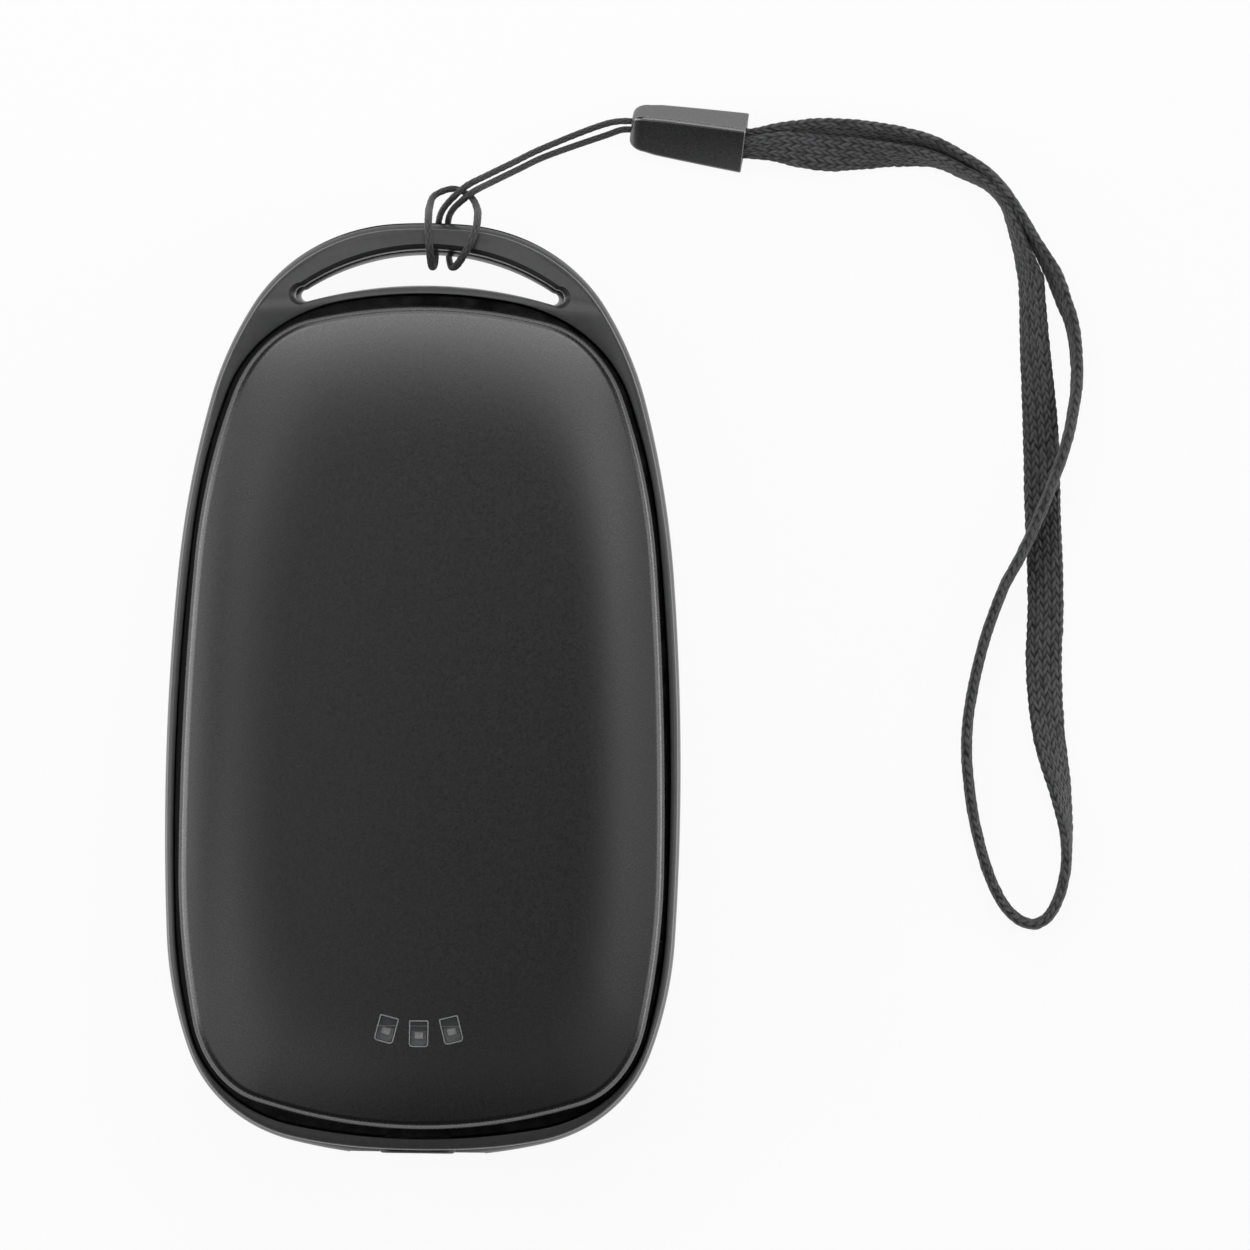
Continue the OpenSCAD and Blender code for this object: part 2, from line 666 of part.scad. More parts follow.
module board_screws() color([0.5, 0.5, 0.52]) at_places(post_places) difference() {
    union() {
        translate([0, 0, board_top]) cylinder(d = board_head.x, h = board_head.y);
        translate([0, 0, board_top - board_screw_l]) cylinder(d = board_screw_d, h = board_screw_l + 0.1);
    }
    translate([0, 0, board_top + board_head.y - 0.4]) cross_recess(board_head.x, 0.5);
}

// Crimp: a flat tapered sleeve, rolled about its length, lying on one long edge
crimp_mouth = [37, 65.1, 3.5];
crimp_yaw = -7.8;
crimp_pitch = 2;
crimp_roll = 38;
crimp_round = 0.5;
crimp_grip = 2.6;
cord_pitch = 1.25;
strand_gap = 0.1;
crimp_dir = [cos(crimp_pitch) * cos(crimp_yaw), cos(crimp_pitch) * sin(crimp_yaw), sin(crimp_pitch)];
crimp_left = [-sin(crimp_yaw), cos(crimp_yaw), 0];
crimp_rise = cross(crimp_dir, crimp_left);
crimp_across = cos(crimp_roll) * crimp_left + sin(crimp_roll) * crimp_rise;
crimp_face = cos(crimp_roll) * crimp_rise - sin(crimp_roll) * crimp_left;
function crimp_point(x, y, z) = crimp_mouth + x * crimp_dir + y * crimp_across + z * crimp_face;

// Route of the thin cord: from the crimp, over the bight, behind the bar, up through the slot,
// over the bar's front, round the bight and back to the crimp the same way
cord_route = [
    crimp_point(crimp_grip - crimp_l, cord_pitch / 2, 0),
    crimp_point(-0.6 - crimp_l, cord_pitch / 2, 0),
    [20, 67, 2.7], [13, 64.1, 5], [9.5, 62.3, 7.2], [6.4, 60.7, 9.6], [4.2, 59.5, 11.4],
    [2.6, 58.1, 11.3], [1.4, 56.7, 9.2], [0.9, 55.4, 6.8], [0.8, 53.6, 6.1], [0.6, 51.5, 6.3],
    [0.5, 50.2, 8.9], [0.3, 49.8, 13], [0.1, 50.2, 17], [-0.15, 52.2, 18.95], [-0.3, 54.2, 18.4],
    [-0.3, 55.6, 16.6], [-0.2, 56.9, 13.4], [0.4, 58.3, 11], [2.6, 59.1, 10.1], [4.6, 58.2, 11],
    [5.4, 56.8, 13.4], [5.5, 55.6, 16.6], [5.3, 54.2, 18.4], [4.5, 52.2, 18.95], [3.3, 50.2, 17],
    [2.6, 49.8, 13], [2.3, 50.2, 8.9], [2.1, 51.5, 6.3], [2, 53.6, 6.1], [2, 55.4, 6.8],
    [2.5, 56.6, 9.2], [3.5, 57.6, 11.3], [5, 58.8, 11.9], [7.2, 60, 9.6], [10.1, 61.5, 7.2],
    [13.5, 63.2, 5], [20.5, 65.8, 2.5],
    crimp_point(-0.6 - crimp_l, -cord_pitch / 2, 0),
    crimp_point(crimp_grip - crimp_l, -cord_pitch / 2, 0)
];

// Route of the webbing: out of the crimp, down the right, round and back over itself: x, y, z, roll
strand_z = (webbing_t + strand_gap) / 2;
webbing_route = [
    concat(crimp_point(-crimp_grip, 0, strand_z), -crimp_roll),
    concat(crimp_point(0.4, 0, strand_z), -crimp_roll),
    [40.9, 64.7, 3.95, -38], [43.6, 64.4, 3.6, -24], [46, 64.1, 3.3, -20], [49.5, 64, 2.9, -39],
    [52.9, 64, 2.5, -57], [56.5, 63.8, 2.35, -70], [60, 63.1, 2.3, -82], [63.2, 61.8, 2.3, -86],
    [65.7, 60.1, 2.3, -88], [67.4, 58.2, 2.3, -88], [68.7, 56.2, 2.3, -85], [69.8, 53.2, 2.3, -78],
    [70.9, 49.8, 2.2, -64], [71.5, 46.6, 2.1, -59], [71.8, 42.2, 1.9, -48], [72.3, 36.4, 1.6, -32],
    [72.7, 30, 0.95, -8], [72.9, 24, 0.7, 0], [73.5, 11.5, 0.7, 0], [73.4, 3.5, 1.1, 8],
    [74.1, -4.5, 1.9, 30], [75.6, -11.5, 2.3, 60], [76.4, -17.5, 2.3, 85], [76, -22.3, 2.3, 90],
    [74.4, -26, 2.3, 90], [72.2, -27, 2.3, 90], [69.3, -25.1, 2.3, 90], [66.8, -20, 2.3, 90],
    [64.9, -12, 2.3, 90], [64.4, -4, 2.3, 90], [65.9, 5, 2.4, 90], [68.3, 12.4, 3, 90],
    [70.6, 17, 4, 90], [73.2, 23, 4.1, 90], [75.4, 29, 4.1, 90], [76.5, 33.6, 3, 89],
    [76.9, 38.4, 2.35, 88], [76.4, 43, 2.3, 86], [75.2, 46.9, 2.3, 83], [73.7, 50.3, 2.3, 79],
    [72, 53.2, 2.3, 82], [70.6, 55.8, 2.3, 86], [69.3, 58.3, 2.3, 89], [67.4, 60.8, 2.3, 89],
    [65, 62.7, 2.3, 88], [61.8, 64.4, 2.3, 84], [58.4, 65.6, 2.3, 77], [54.6, 66.3, 2.3, 70],
    [50.2, 66.7, 2.3, 66], [46, 66.7, 2.4, 66], [42.6, 66.5, 2.4, 61],
    concat(crimp_point(0.4, 0, -strand_z), crimp_roll),
    concat(crimp_point(-crimp_grip, 0, -strand_z), crimp_roll)
];

// Rounded rectangle across X
function crimp_ring(x, w, t) = [for (q = [0:3], i = [0:3])
    let (a = 90 * q + 30 * i, sx = q == 0 || q == 3 ? 1 : -1, sy = q < 2 ? 1 : -1)
    [x, sx * (w / 2 - crimp_round) + crimp_round * cos(a),
        sy * (t / 2 - crimp_round) + crimp_round * sin(a)]];

module strap_cord() color([0.2, 0.2, 0.205]) tube(cord_route, cord_d);

module strap_webbing() color([0.2, 0.2, 0.205]) flat_tube(webbing_route, webbing_w, webbing_t);

module crimp_body() {
    small = [crimp_w, crimp_t] * crimp_taper;
    loft([crimp_ring(-crimp_l, small.x - 1, small.y - 1),
          crimp_ring(0.3 - crimp_l, small.x - 0.3, small.y - 0.3),
          crimp_ring(crimp_round - crimp_l, small.x, small.y),
          crimp_ring(0, crimp_w, crimp_t)]);
}

// Open at its mouth for the webbing, with a hole for each strand of the cord
module strap_crimp() color([0.22, 0.22, 0.225])
    translate(crimp_mouth) rotate(crimp_yaw) rotate([0, -crimp_pitch, 0]) rotate([crimp_roll, 0, 0])
        difference() {
            crimp_body();
            pocket = [crimp_grip + cut, webbing_w + 0.2, 2 * webbing_t + strand_gap + 0.2];
            translate([-crimp_grip, -pocket.y / 2, -pocket.z / 2]) cube(pocket);
            for (s = [-1, 1]) translate([-crimp_l - cut, s * cord_pitch / 2, 0]) rotate([0, 90, 0])
                cylinder(d = cord_d + 0.2, h = crimp_grip + cut);
        }

front_frame();
rear_frame();
front_chassis();
rear_chassis();
front_panel();
rear_panel();
front_heater();
rear_heater();
front_foam();
rear_foam();
thermistors();
heater_leads();
battery_cell();
battery_tape();
battery_pad();
protection_board();
battery_leads();
main_board();
usb_c_socket();
usb_c_tongue();
tact_switch();
switch_plunger();
power_button();
status_leds();
light_guide();
power_inductor();
control_chips();
capacitors();
chassis_screws();
board_screws();
strap_cord();
strap_crimp();
strap_webbing();
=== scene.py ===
import math

import bpy
import numpy as np
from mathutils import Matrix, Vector


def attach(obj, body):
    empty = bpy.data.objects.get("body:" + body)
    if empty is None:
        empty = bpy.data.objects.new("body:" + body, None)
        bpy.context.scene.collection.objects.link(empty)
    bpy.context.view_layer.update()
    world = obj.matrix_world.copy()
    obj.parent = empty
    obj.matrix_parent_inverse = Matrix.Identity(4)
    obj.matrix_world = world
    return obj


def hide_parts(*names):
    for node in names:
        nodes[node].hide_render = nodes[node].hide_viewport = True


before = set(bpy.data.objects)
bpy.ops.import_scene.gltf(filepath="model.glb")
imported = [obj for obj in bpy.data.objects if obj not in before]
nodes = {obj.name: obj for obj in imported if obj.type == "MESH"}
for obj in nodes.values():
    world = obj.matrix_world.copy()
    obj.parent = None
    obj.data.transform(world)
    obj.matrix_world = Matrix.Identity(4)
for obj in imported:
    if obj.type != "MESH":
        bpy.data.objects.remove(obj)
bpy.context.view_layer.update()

MM = 0.001

# Sizes of the part, in millimetres
MID_Z = 12.5
BODY_W, BODY_L, BODY_Y = 61.0, 110.538, -0.269
OPENING_W, OPENING_L, OPENING_Y = 58.65, 99.85, -3.375
PANEL_W, PANEL_L, PANEL_Y = 57.36, 97.2, -3.55
LIP_H, TIP_H, LOOP_BLEND, LOOP_END = 8.8, 5.0, 11.0, 55.0
LIP_EDGE, LIP_FOOT = 0.14, 4.0
BAND_DROP, BAND_STEPS = 0.15, 12
RIB_H, RIB_GROW = 0.85, 0.25
LEDGE_H, LEDGE_BEVEL, PANEL_H, PANEL_WALL = 6.9, 0.1, 12.5, 1.2
CROWN_RISE, CROWN_SIDE, CROWN_END, CROWN_POWER = 1.2, 12.0, 18.5, 2.6
RIM_W, RIM_H, RIM_POWER = 1.05, 1.05, 2.2
RIM_TOTAL = RIM_H + CROWN_RISE * CROWN_POWER / (CROWN_SIDE - RIM_W) * RIM_W
SLOT_TOP, SLOT_LOW, SLOT_L = 51.2, 47.6, 30.7
SLOT_TOP_R, SLOT_LOW_R = 26.7, 51.8
RECESS_Y, RECESS_HALF = -54.95, 8.0
HOLE_Y = (-50.5, -57.0)
BUTTON_Z, BUTTON, BUTTON_HOLE, BUTTON_FLANGE = 15.0, (9.0, 3.2), (9.3, 3.5), (10.2, 3.8)
SOCKET_Z, SOCKET_HOLE, TONGUE = 9.0, (9.24, 3.5), (6.7, 0.7)

# Arcs of half an outline, from the port end to the loop end: radius, degrees
BODY_ARCS = [
    (59.7, 14.56), (17.68, 56.76), (53.9, 15.98), (370, 7.2), (139, 9.4), (46.3, 16.16), (21.06, 55.67)
]
OPENING_ARCS = [(67.1, 12.67), (16.34, 63.58), (74.9, 11.5), (398, 7.76), (89.6, 12.13), (18.4, 60.14)]
PANEL_ARCS = [(78.5, 14.2), (10.39, 60.96), (57.1, 14.44), (253, 6.36), (49, 18.76), (12.42, 54.75)]


def smooth(t):
    """A soft step from 0 to 1."""
    t = np.clip(t, 0, 1)
    return t * t * (3 - 2 * t)


# Camera


def make_camera():
    """A far camera straight above the part, turned a little as in the photo."""
    data = bpy.data.cameras.new("camera")
    sensor, distance, width, aim_x, aim_y = 36, 4.0, 0.1479, 0.023632, 0.007759
    data.sensor_width = sensor
    data.lens = sensor * distance / width
    data.clip_start, data.clip_end = 0.1, 20
    camera = bpy.data.objects.new("camera", data)
    camera.location = (aim_x, aim_y, MID_Z * MM + distance)
    camera.rotation_euler = (0, 0, 0.0146)
    bpy.context.scene.collection.objects.link(camera)
    bpy.context.scene.camera = camera


# Meshes


def add_mesh(name, points, faces, material, body="housing", sharp=38):
    """A piece from points in millimetres."""
    mesh = bpy.data.meshes.new(name)
    mesh.from_pydata((np.asarray(points, float) * MM).tolist(), [], faces)
    mesh.validate()
    mesh.shade_smooth()
    mesh.set_sharp_from_angle(angle=math.radians(sharp))
    piece = bpy.data.objects.new(name, mesh)
    bpy.context.scene.collection.objects.link(piece)
    if material is not None:
        mesh.materials.append(material)
    if body is not None:
        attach(piece, body)
    return piece


def ring_faces(rings, count, wrap=False):
    """Quads between closed rings of equal count."""
    faces = []
    for r in range(rings if wrap else rings - 1):
        a, b = r * count, ((r + 1) % rings) * count
        for k in range(count):
            n = (k + 1) % count
            faces.append((a + k, a + n, b + n, b + k))
    return faces


def loft(rings):
    """Points and faces of a closed solid through rings, each an array of points."""
    count = len(rings[0])
    faces = ring_faces(len(rings), count)
    faces.append(tuple(range(count - 1, -1, -1)))
    last = (len(rings) - 1) * count
    faces.append(tuple(last + k for k in range(count)))
    return np.vstack(rings), faces


def cut_away(piece, points, faces):
    """Cuts a solid out of a piece for good."""
    tool = add_mesh("cut_tool", points, faces, None, None)
    step = piece.modifiers.new("cut", "BOOLEAN")
    step.operation, step.solver, step.object = "DIFFERENCE", "EXACT", tool
    shown = bpy.context.evaluated_depsgraph_get()
    mesh = bpy.data.meshes.new_from_object(piece.evaluated_get(shown))
    old = piece.data
    piece.modifiers.clear()
    piece.data = mesh
    bpy.data.meshes.remove(old)
    bpy.data.objects.remove(tool)
    mesh.shade_smooth()
    mesh.set_sharp_from_angle(angle=math.radians(32))


# Outlines


def half_outline(arcs):
    """Dense half outline of unit width and length, closed square to its axis."""

    def along(x, y, turn, radius, sweep):
        """The place after an arc that starts at x, y in the direction turn."""
        return (
            x + radius * (math.sin(turn + sweep) - math.sin(turn)),
            y + radius * (math.cos(turn) - math.cos(turn + sweep)),
        )

    arcs = [(r, math.radians(s)) for r, s in arcs]
    x = y = turn = 0.0
    for radius, sweep in arcs:
        x, y = along(x, y, turn, radius, sweep)
        turn += sweep
    arcs.append((x / math.sin(turn), math.pi - turn))
    x = y = turn = 0.0
    points = []
    for radius, sweep in arcs:
        steps = max(6, int(math.degrees(sweep) / 0.4))
        points += [along(x, y, turn, radius, sweep * i / steps) for i in range(steps)]
        x, y = along(x, y, turn, radius, sweep)
        turn += sweep
    points.append((0.0, y))
    p = np.array(points)
    return np.column_stack([p[:, 0] / (2 * p[:, 0].max()), p[:, 1] / y - 0.5])


def whole_outline(arcs, width, length, count):
    """Closed outline of 2 x count points at equal steps, of unit width and length."""
    half = half_outline(arcs)
    step = np.hypot(*(np.diff(half, axis=0) * (width, length)).T)
    at = np.concatenate([[0], np.cumsum(step)])
    want = np.linspace(0, at[-1], count + 1)
    half = np.column_stack([np.interp(want, at, half[:, k]) for k in (0, 1)])
    return np.vstack([half, half[-2:0:-1] * (-1, 1)])


STATIONS = 200
body_unit = whole_outline(BODY_ARCS, BODY_W, BODY_L, STATIONS)
opening_dense = whole_outline(OPENING_ARCS, OPENING_W, OPENING_L, 900)
panel_unit = whole_outline(PANEL_ARCS, PANEL_W, PANEL_L, STATIONS)


def body_line(inset):
    """The body's outline, drawn in by an inset that may differ from station to station."""
    inset = np.asarray(inset)
    return np.column_stack(
        [body_unit[:, 0] * (BODY_W - 2 * inset), body_unit[:, 1] * (BODY_L - 2 * inset) + BODY_Y]
    )


def matched_opening():
    """The opening's unit outline, at the stations of the body's outline."""
    full = opening_dense * (OPENING_W, OPENING_L)
    angle = np.unwrap(np.arctan2(full[:, 1], full[:, 0]))
    line = body_line(0) - (0, OPENING_Y)
    want = np.unwrap(np.arctan2(line[:, 1], line[:, 0]))
    angle, loop = np.append(angle, angle[0] + 2 * math.pi), np.vstack([opening_dense, opening_dense[:1]])
    want = np.clip(want, angle[0], angle[-1])
    return np.column_stack([np.interp(want, angle, loop[:, k]) for k in (0, 1)])


opening_unit = matched_opening()


def opening_line(grow):
    """The outline of the opening, grown on all sides."""
    return opening_unit * (OPENING_W + 2 * grow, OPENING_L + 2 * grow) + (0, OPENING_Y)


def panel_line(inset_x, inset_y):
    """The panel's outline, drawn in from its sides and its ends."""
    return panel_unit * (PANEL_W - 2 * inset_x, PANEL_L - 2 * inset_y) + (0, PANEL_Y)


def face_h(y):
    """Height of the frame's face over the parting plane."""
    return LIP_H - (LIP_H - TIP_H) * smooth((np.asarray(y) - LOOP_END + LOOP_BLEND) / LOOP_BLEND)


def lift(line, z):
    """A flat line as points at the height z."""
    return np.column_stack([line, np.broadcast_to(z, len(line))])


def half(front, points, faces):
    """A solid from heights over the parting plane, set in the front half or mirrored to the rear one."""
    if front:
        return points + (0, 0, MID_Z), faces
    return points * (1, 1, -1) + (0, 0, MID_Z), [f[::-1] for f in faces]


# How far the shoulder of the crease stands in from the outline
normal_turn = np.degrees(np.arctan2(np.abs(body_unit[:, 0]) * 60, -(body_unit[:, 1] + 0.14) * 72))
shoulder = 0.3 + np.where(
    body_unit[:, 1] < 0,
    0.73 * np.exp(-((normal_turn / 27) ** 2)),
    0.5 * np.exp(-(((180 - normal_turn) / 40) ** 2)),
)


# Frame halves


def frame_sections(front):
    """Rings of half the frame, from the crease over the face and down the opening."""
    if front:
        low = [(0.26, 0.0), (0.12, 0.07), (0.03, 0.2), (0.0, 0.45), (0.0, 1.0)]
        rings = [lift(body_line(shoulder + i), z) for i, z in low]
    else:
        low = [(1.12, 0.0), (0.93, 0.05), (0.6, 0.42), (0.3, 0.95), (0.1, 1.5), (0.0, 2.2)]
        rings = [lift(body_line(shoulder * s), z) for s, z in low]
    # Share of the height of the outer edge of the face, and inset of the wall there
    profile = [(0.3, 0.01), (0.5, 0.03), (0.7, 0.05), (0.82, 0.07), (0.9, 0.1), (0.94, 0.13)]
    profile += [(0.965, 0.17), (0.983, 0.22), (0.995, 0.28), (1.0, 0.35)]
    for f, inset in profile:
        line = body_line(inset + shoulder * (1 - 0.2 * f) if front else inset)
        rings.append(lift(line, f * (face_h(line[:, 1]) - BAND_DROP)))
    outer, inner = rings[-1][:, :2], opening_line(LIP_EDGE)
    for j in range(1, BAND_STEPS + 1):
        line = outer + (inner - outer) * (j / BAND_STEPS)
        rings.append(lift(line, face_h(line[:, 1]) - BAND_DROP * (1 - j / BAND_STEPS) ** 2))
    for a in np.radians((30, 60, 90)):
        line = opening_line(LIP_EDGE * (1 - math.sin(a)))
        rings.append(lift(line, face_h(line[:, 1]) - LIP_EDGE * (1 - math.cos(a))))
    for grow, z in ((0, LIP_FOOT), (0, RIB_H), (RIB_GROW, RIB_H), (RIB_GROW, 0.0)):
        rings.append(lift(opening_line(grow), z))
    return rings


def slot_line(flare):
    """The slot's outline, widened by a flare."""
    reach = SLOT_L / 2 + flare * 0.6 - 0.8

    def upper(x):
        return SLOT_TOP + flare - SLOT_TOP_R + np.sqrt(SLOT_TOP_R**2 - x * x)

    def lower(x):
        return SLOT_LOW - 0.2 * flare - SLOT_LOW_R + np.sqrt(SLOT_LOW_R**2 - x * x)

    r = (upper(reach) - lower(reach)) / 2
    end_y = (upper(reach) + lower(reach)) / 2
    x = np.linspace(reach, -reach, 61)
    a = np.radians(np.linspace(105, 255, 11))
    return np.vstack(
        [
            np.column_stack([x, upper(x)]),
            np.column_stack([-reach + r * np.cos(a), end_y + r * np.sin(a)]),
            np.column_stack([-x, lower(x)]),
            np.column_stack([reach - r * np.cos(a), end_y - r * np.sin(a)]),
        ]
    )


def slot_tool(front):
    """What the slot takes out of a frame half, upwards from the parting plane."""
    if front:
        low = [(0.62, -0.4), (0.62, 0.0), (0.56, 0.1)]
    else:
        low = [(0.75, -0.4), (0.66, 0.0), (0.6, 0.1), (0.5, 0.3), (0.4, 0.6)]
        low += [(0.3, 1.0), (0.2, 1.5), (0.1, 2.1), (0.0, 2.9)]
    rings = [lift(slot_line(f), z) for f, z in low]
    bevel = [(0.7, 1.3), (0.8, 1.0), (0.94, 0.7), (1.1, 0.4), (1.2, 0.2), (1.28, 0.07), (1.35, 0.0)]
    for flare, drop in bevel:
        line = slot_line(flare)
        rings.append(lift(line, face_h(line[:, 1]) - drop))
    rings.append(lift(line, face_h(line[:, 1]) + 1.0))
    return rings


def stadium(w, h, count=16):
    """A stadium about the origin, counter-clockwise."""
    r = h / 2
    a = np.radians(np.linspace(-90, 90, count))
    right = np.column_stack([(w - h) / 2 + r * np.cos(a), r * np.sin(a)])
    return np.vstack([right, -right])


def along_y(line, y, z):
    """A ring in the plane of X and Z, seen from the port end."""
    return np.column_stack([line[:, 0], np.broadcast_to(y, len(line)), line[:, 1] + z])


def box_rings(x0, x1, y0, y1, z0, z1):
    """The lower and the upper ring of a box."""
    line = np.array([(x0, y0), (x1, y0), (x1, y1), (x0, y1)], float)
    return [lift(line, z0), lift(line, z1)]


def make_frames(material):
    """Both halves of the frame, with the slot, the flat of the port end and the hole in it."""
    for front, hole, z in ((True, BUTTON_HOLE, BUTTON_Z), (False, SOCKET_HOLE, SOCKET_Z)):
        name = "front_frame" if front else "rear_frame"
        rings = frame_sections(front)
        faces = ring_faces(len(rings), len(body_unit), wrap=True)
        piece = add_mesh(name + "_shell", *half(front, np.vstack(rings), faces), material)
        cut_away(piece, *half(front, *loft(slot_tool(front))))
        cut_away(piece, *loft(box_rings(-RECESS_HALF, RECESS_HALF, -60, RECESS_Y, 2, 23)))
        cut_away(piece, *loft([along_y(stadium(*hole), y, z) for y in HOLE_Y]))
        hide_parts(name)


# Panels


def crown_drop(u):
    """How far the crown has fallen at u, from 0 at its flat middle to 1 at the rim."""
    return CROWN_RISE * u**CROWN_POWER


def crown_line(u, rim_in):
    """The panel's outline from the flat middle, at u = 0, to the rim, at u = 1."""
    return panel_line(CROWN_SIDE + (rim_in - CROWN_SIDE) * u, CROWN_END + (rim_in - CROWN_END) * u)


def rim_insets(rise, reach):
    """Insets of the rim at given rises over its foot. It meets a crown of that reach without a crease."""
    slope = CROWN_RISE * CROWN_POWER / (reach - RIM_W)
    across = np.linspace(0, 1, 400)
    arc = (1 - across**RIM_POWER) ** (1 / RIM_POWER)
    full = RIM_TOTAL - slope * RIM_W
    height = full * arc + slope * RIM_W * (1 - across)
    return np.interp(rise, height[::-1], RIM_W * (1 - across[::-1]))


def panel_rings():
    """Rings of a panel, from its inner middle round the rim to its outer middle."""
    rings = []
    for u in np.linspace(0, 1, 9):
        rings.append(lift(crown_line(u, RIM_W + PANEL_WALL), PANEL_H - PANEL_WALL - crown_drop(u)))
    rim_foot = PANEL_H - CROWN_RISE - RIM_TOTAL
    walls = [(PANEL_WALL, rim_foot - PANEL_WALL / 2), (PANEL_WALL, LEDGE_H), (LEDGE_BEVEL, LEDGE_H)]
    walls += [(0, LEDGE_H + LEDGE_BEVEL), (0, LEDGE_H + 1.0)]
    for inset, z in walls:
        rings.append(lift(panel_line(inset, inset), z))
    for t in np.linspace(0, 1, 22):
        rise = RIM_TOTAL * math.sin(t * math.pi / 2)
        line = panel_line(rim_insets(rise, CROWN_SIDE), rim_insets(rise, CROWN_END))
        rings.append(lift(line, rim_foot + rise))
    for u in np.linspace(1, 0, 34)[1:]:
        rings.append(lift(crown_line(u, RIM_W), PANEL_H - crown_drop(u)))
    return rings


# The fan of windows: its radius, the turn from window to window, the middle window's place and size
FAN_R, FAN_STEP = 15.5, math.radians(14.3)
WINDOW_Y = -40.8
WINDOW = (2.3, 3.15)


def rounded_box(w, l, radii, count=7):
    """A rectangle whose lower and upper corners have their own radii, counter-clockwise."""
    low, high = radii
    rows = []
    for cx, cy, r, a0 in (
        (w / 2 - low, -l / 2 + low, low, -90),
        (w / 2 - high, l / 2 - high, high, 0),
        (-w / 2 + high, l / 2 - high, high, 90),
        (-w / 2 + low, -l / 2 + low, low, 180),
    ):
        a = np.radians(np.linspace(a0, a0 + 90, count))
        rows.append(np.column_stack([cx + r * np.cos(a), cy + r * np.sin(a)]))
    return np.vstack(rows)


def on_fan(line, side):
    """From a window's own place to the fan under the panel's port end."""
    c, s = math.cos(side * FAN_STEP), math.sin(side * FAN_STEP)
    x, y = line[:, 0], line[:, 1] - FAN_R
    return np.column_stack([c * x - s * y, s * x + c * y + WINDOW_Y + FAN_R])


def skin_h(line):
    """Height of the panel's skin over the parting plane, near its middle axis."""
    low = PANEL_Y - PANEL_L / 2
    inset = line[:, 1] - low - 0.0064 * line[:, 0] ** 2
    return PANEL_H - crown_drop(np.clip((CROWN_END - inset) / (CROWN_END - RIM_W), 0, 1))


def make_panels(material):
    """Both panels, the front one with its three windows cut out."""
    for front in (True, False):
        name = "front_panel" if front else "rear_panel"
        piece = add_mesh(name + "_shell", *half(front, *loft(panel_rings())), material)
        if front:
            for side in (-1, 0, 1):
                hole = on_fan(rounded_box(*(s + 0.1 for s in WINDOW), (0.45, 0.2)), side)
                cut_away(piece, *loft([lift(hole, 20.0), lift(hole, 27.0)]))
        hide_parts(name)


# Windows


def make_windows(materials):
    """The light guide: three clear prongs on one web, with what shows in them."""
    lens, rim, pale, chip, dark = materials
    prong_depth, rim_width, web_h = 3.2, 0.26, 11.2

    def plate(name, line, top, thick, material):
        line_top = lift(line, top + MID_Z)
        points, faces = loft([line_top - (0, 0, thick), line_top])
        add_mesh(name, points, faces, material)

    for side, tag in ((-1, "left"), (0, "middle"), (1, "right")):
        outer = on_fan(rounded_box(*WINDOW, (0.42, 0.18)), side)
        inner = on_fan(rounded_box(*(s - rim_width for s in WINDOW), (0.3, 0.1)), side)
        top_out, top_in = (lift(line, skin_h(line) + MID_Z) for line in (outer, inner))
        rings = [top_out + (0, 0, z) for z in (-prong_depth, -0.04, 0.01)]
        rings += [top_in + (0, 0, z) for z in (0.01, -0.05, -prong_depth)]
        faces = ring_faces(len(rings), len(outer), wrap=True)
        add_mesh("window_rim_" + tag, np.vstack(rings), faces, rim)
        plate("window_lens_" + tag, inner, skin_h(inner) - 0.06, 0.12, lens)
        plate("window_floor_" + tag, inner, 10.6, 0.3, dark)
        low = on_fan(rounded_box(WINDOW[0] - 0.5, WINDOW[1] - 1.45, (0.25, 0.1)) - (0, 0.52), side)
        plate("window_pale_" + tag, low, 10.9, 0.25, pale)
        spot = on_fan(rounded_box(1.0, 0.75, (0.15, 0.15)) - (0, 0.22), side)
        plate("window_chip_" + tag, spot, 11.1, 0.15, chip)
    web = np.array([(-5.6, -39.98), (5.6, -39.98), (5.6, -39.86), (-5.6, -39.86)])
    plate("window_web", web, web_h, 0.5, rim)
    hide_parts("light_guide")


# Strap

CRIMP_MOUTH, CRIMP_ROLL = np.array([37.0, 65.1, 3.5]), 38
CRIMP_L, CRIMP_W, CRIMP_T, CRIMP_TAPER, CRIMP_GRIP = 13.6, 6.5, 3.9, 0.8, 2.6


def crimp_axes():
    """Directions of the crimp: from its cord end to its mouth, across it and out of its broad face."""
    yaw, pitch, roll = np.radians((-7.8, 2, CRIMP_ROLL))
    along = np.array([math.cos(pitch) * math.cos(yaw), math.cos(pitch) * math.sin(yaw), math.sin(pitch)])
    left = np.array([-math.sin(yaw), math.cos(yaw), 0.0])
    rise = np.cross(along, left)
    across = math.cos(roll) * left + math.sin(roll) * rise
    face = math.cos(roll) * rise - math.sin(roll) * left
    return along, across, face


CRIMP_AXES = np.array(crimp_axes())


def crimp_point(x, y, z):
    """A place measured from the middle of the crimp's mouth."""
    return CRIMP_MOUTH + np.array([x, y, z]) @ CRIMP_AXES


CORD_D, CORD_PITCH = 0.8, 1.25
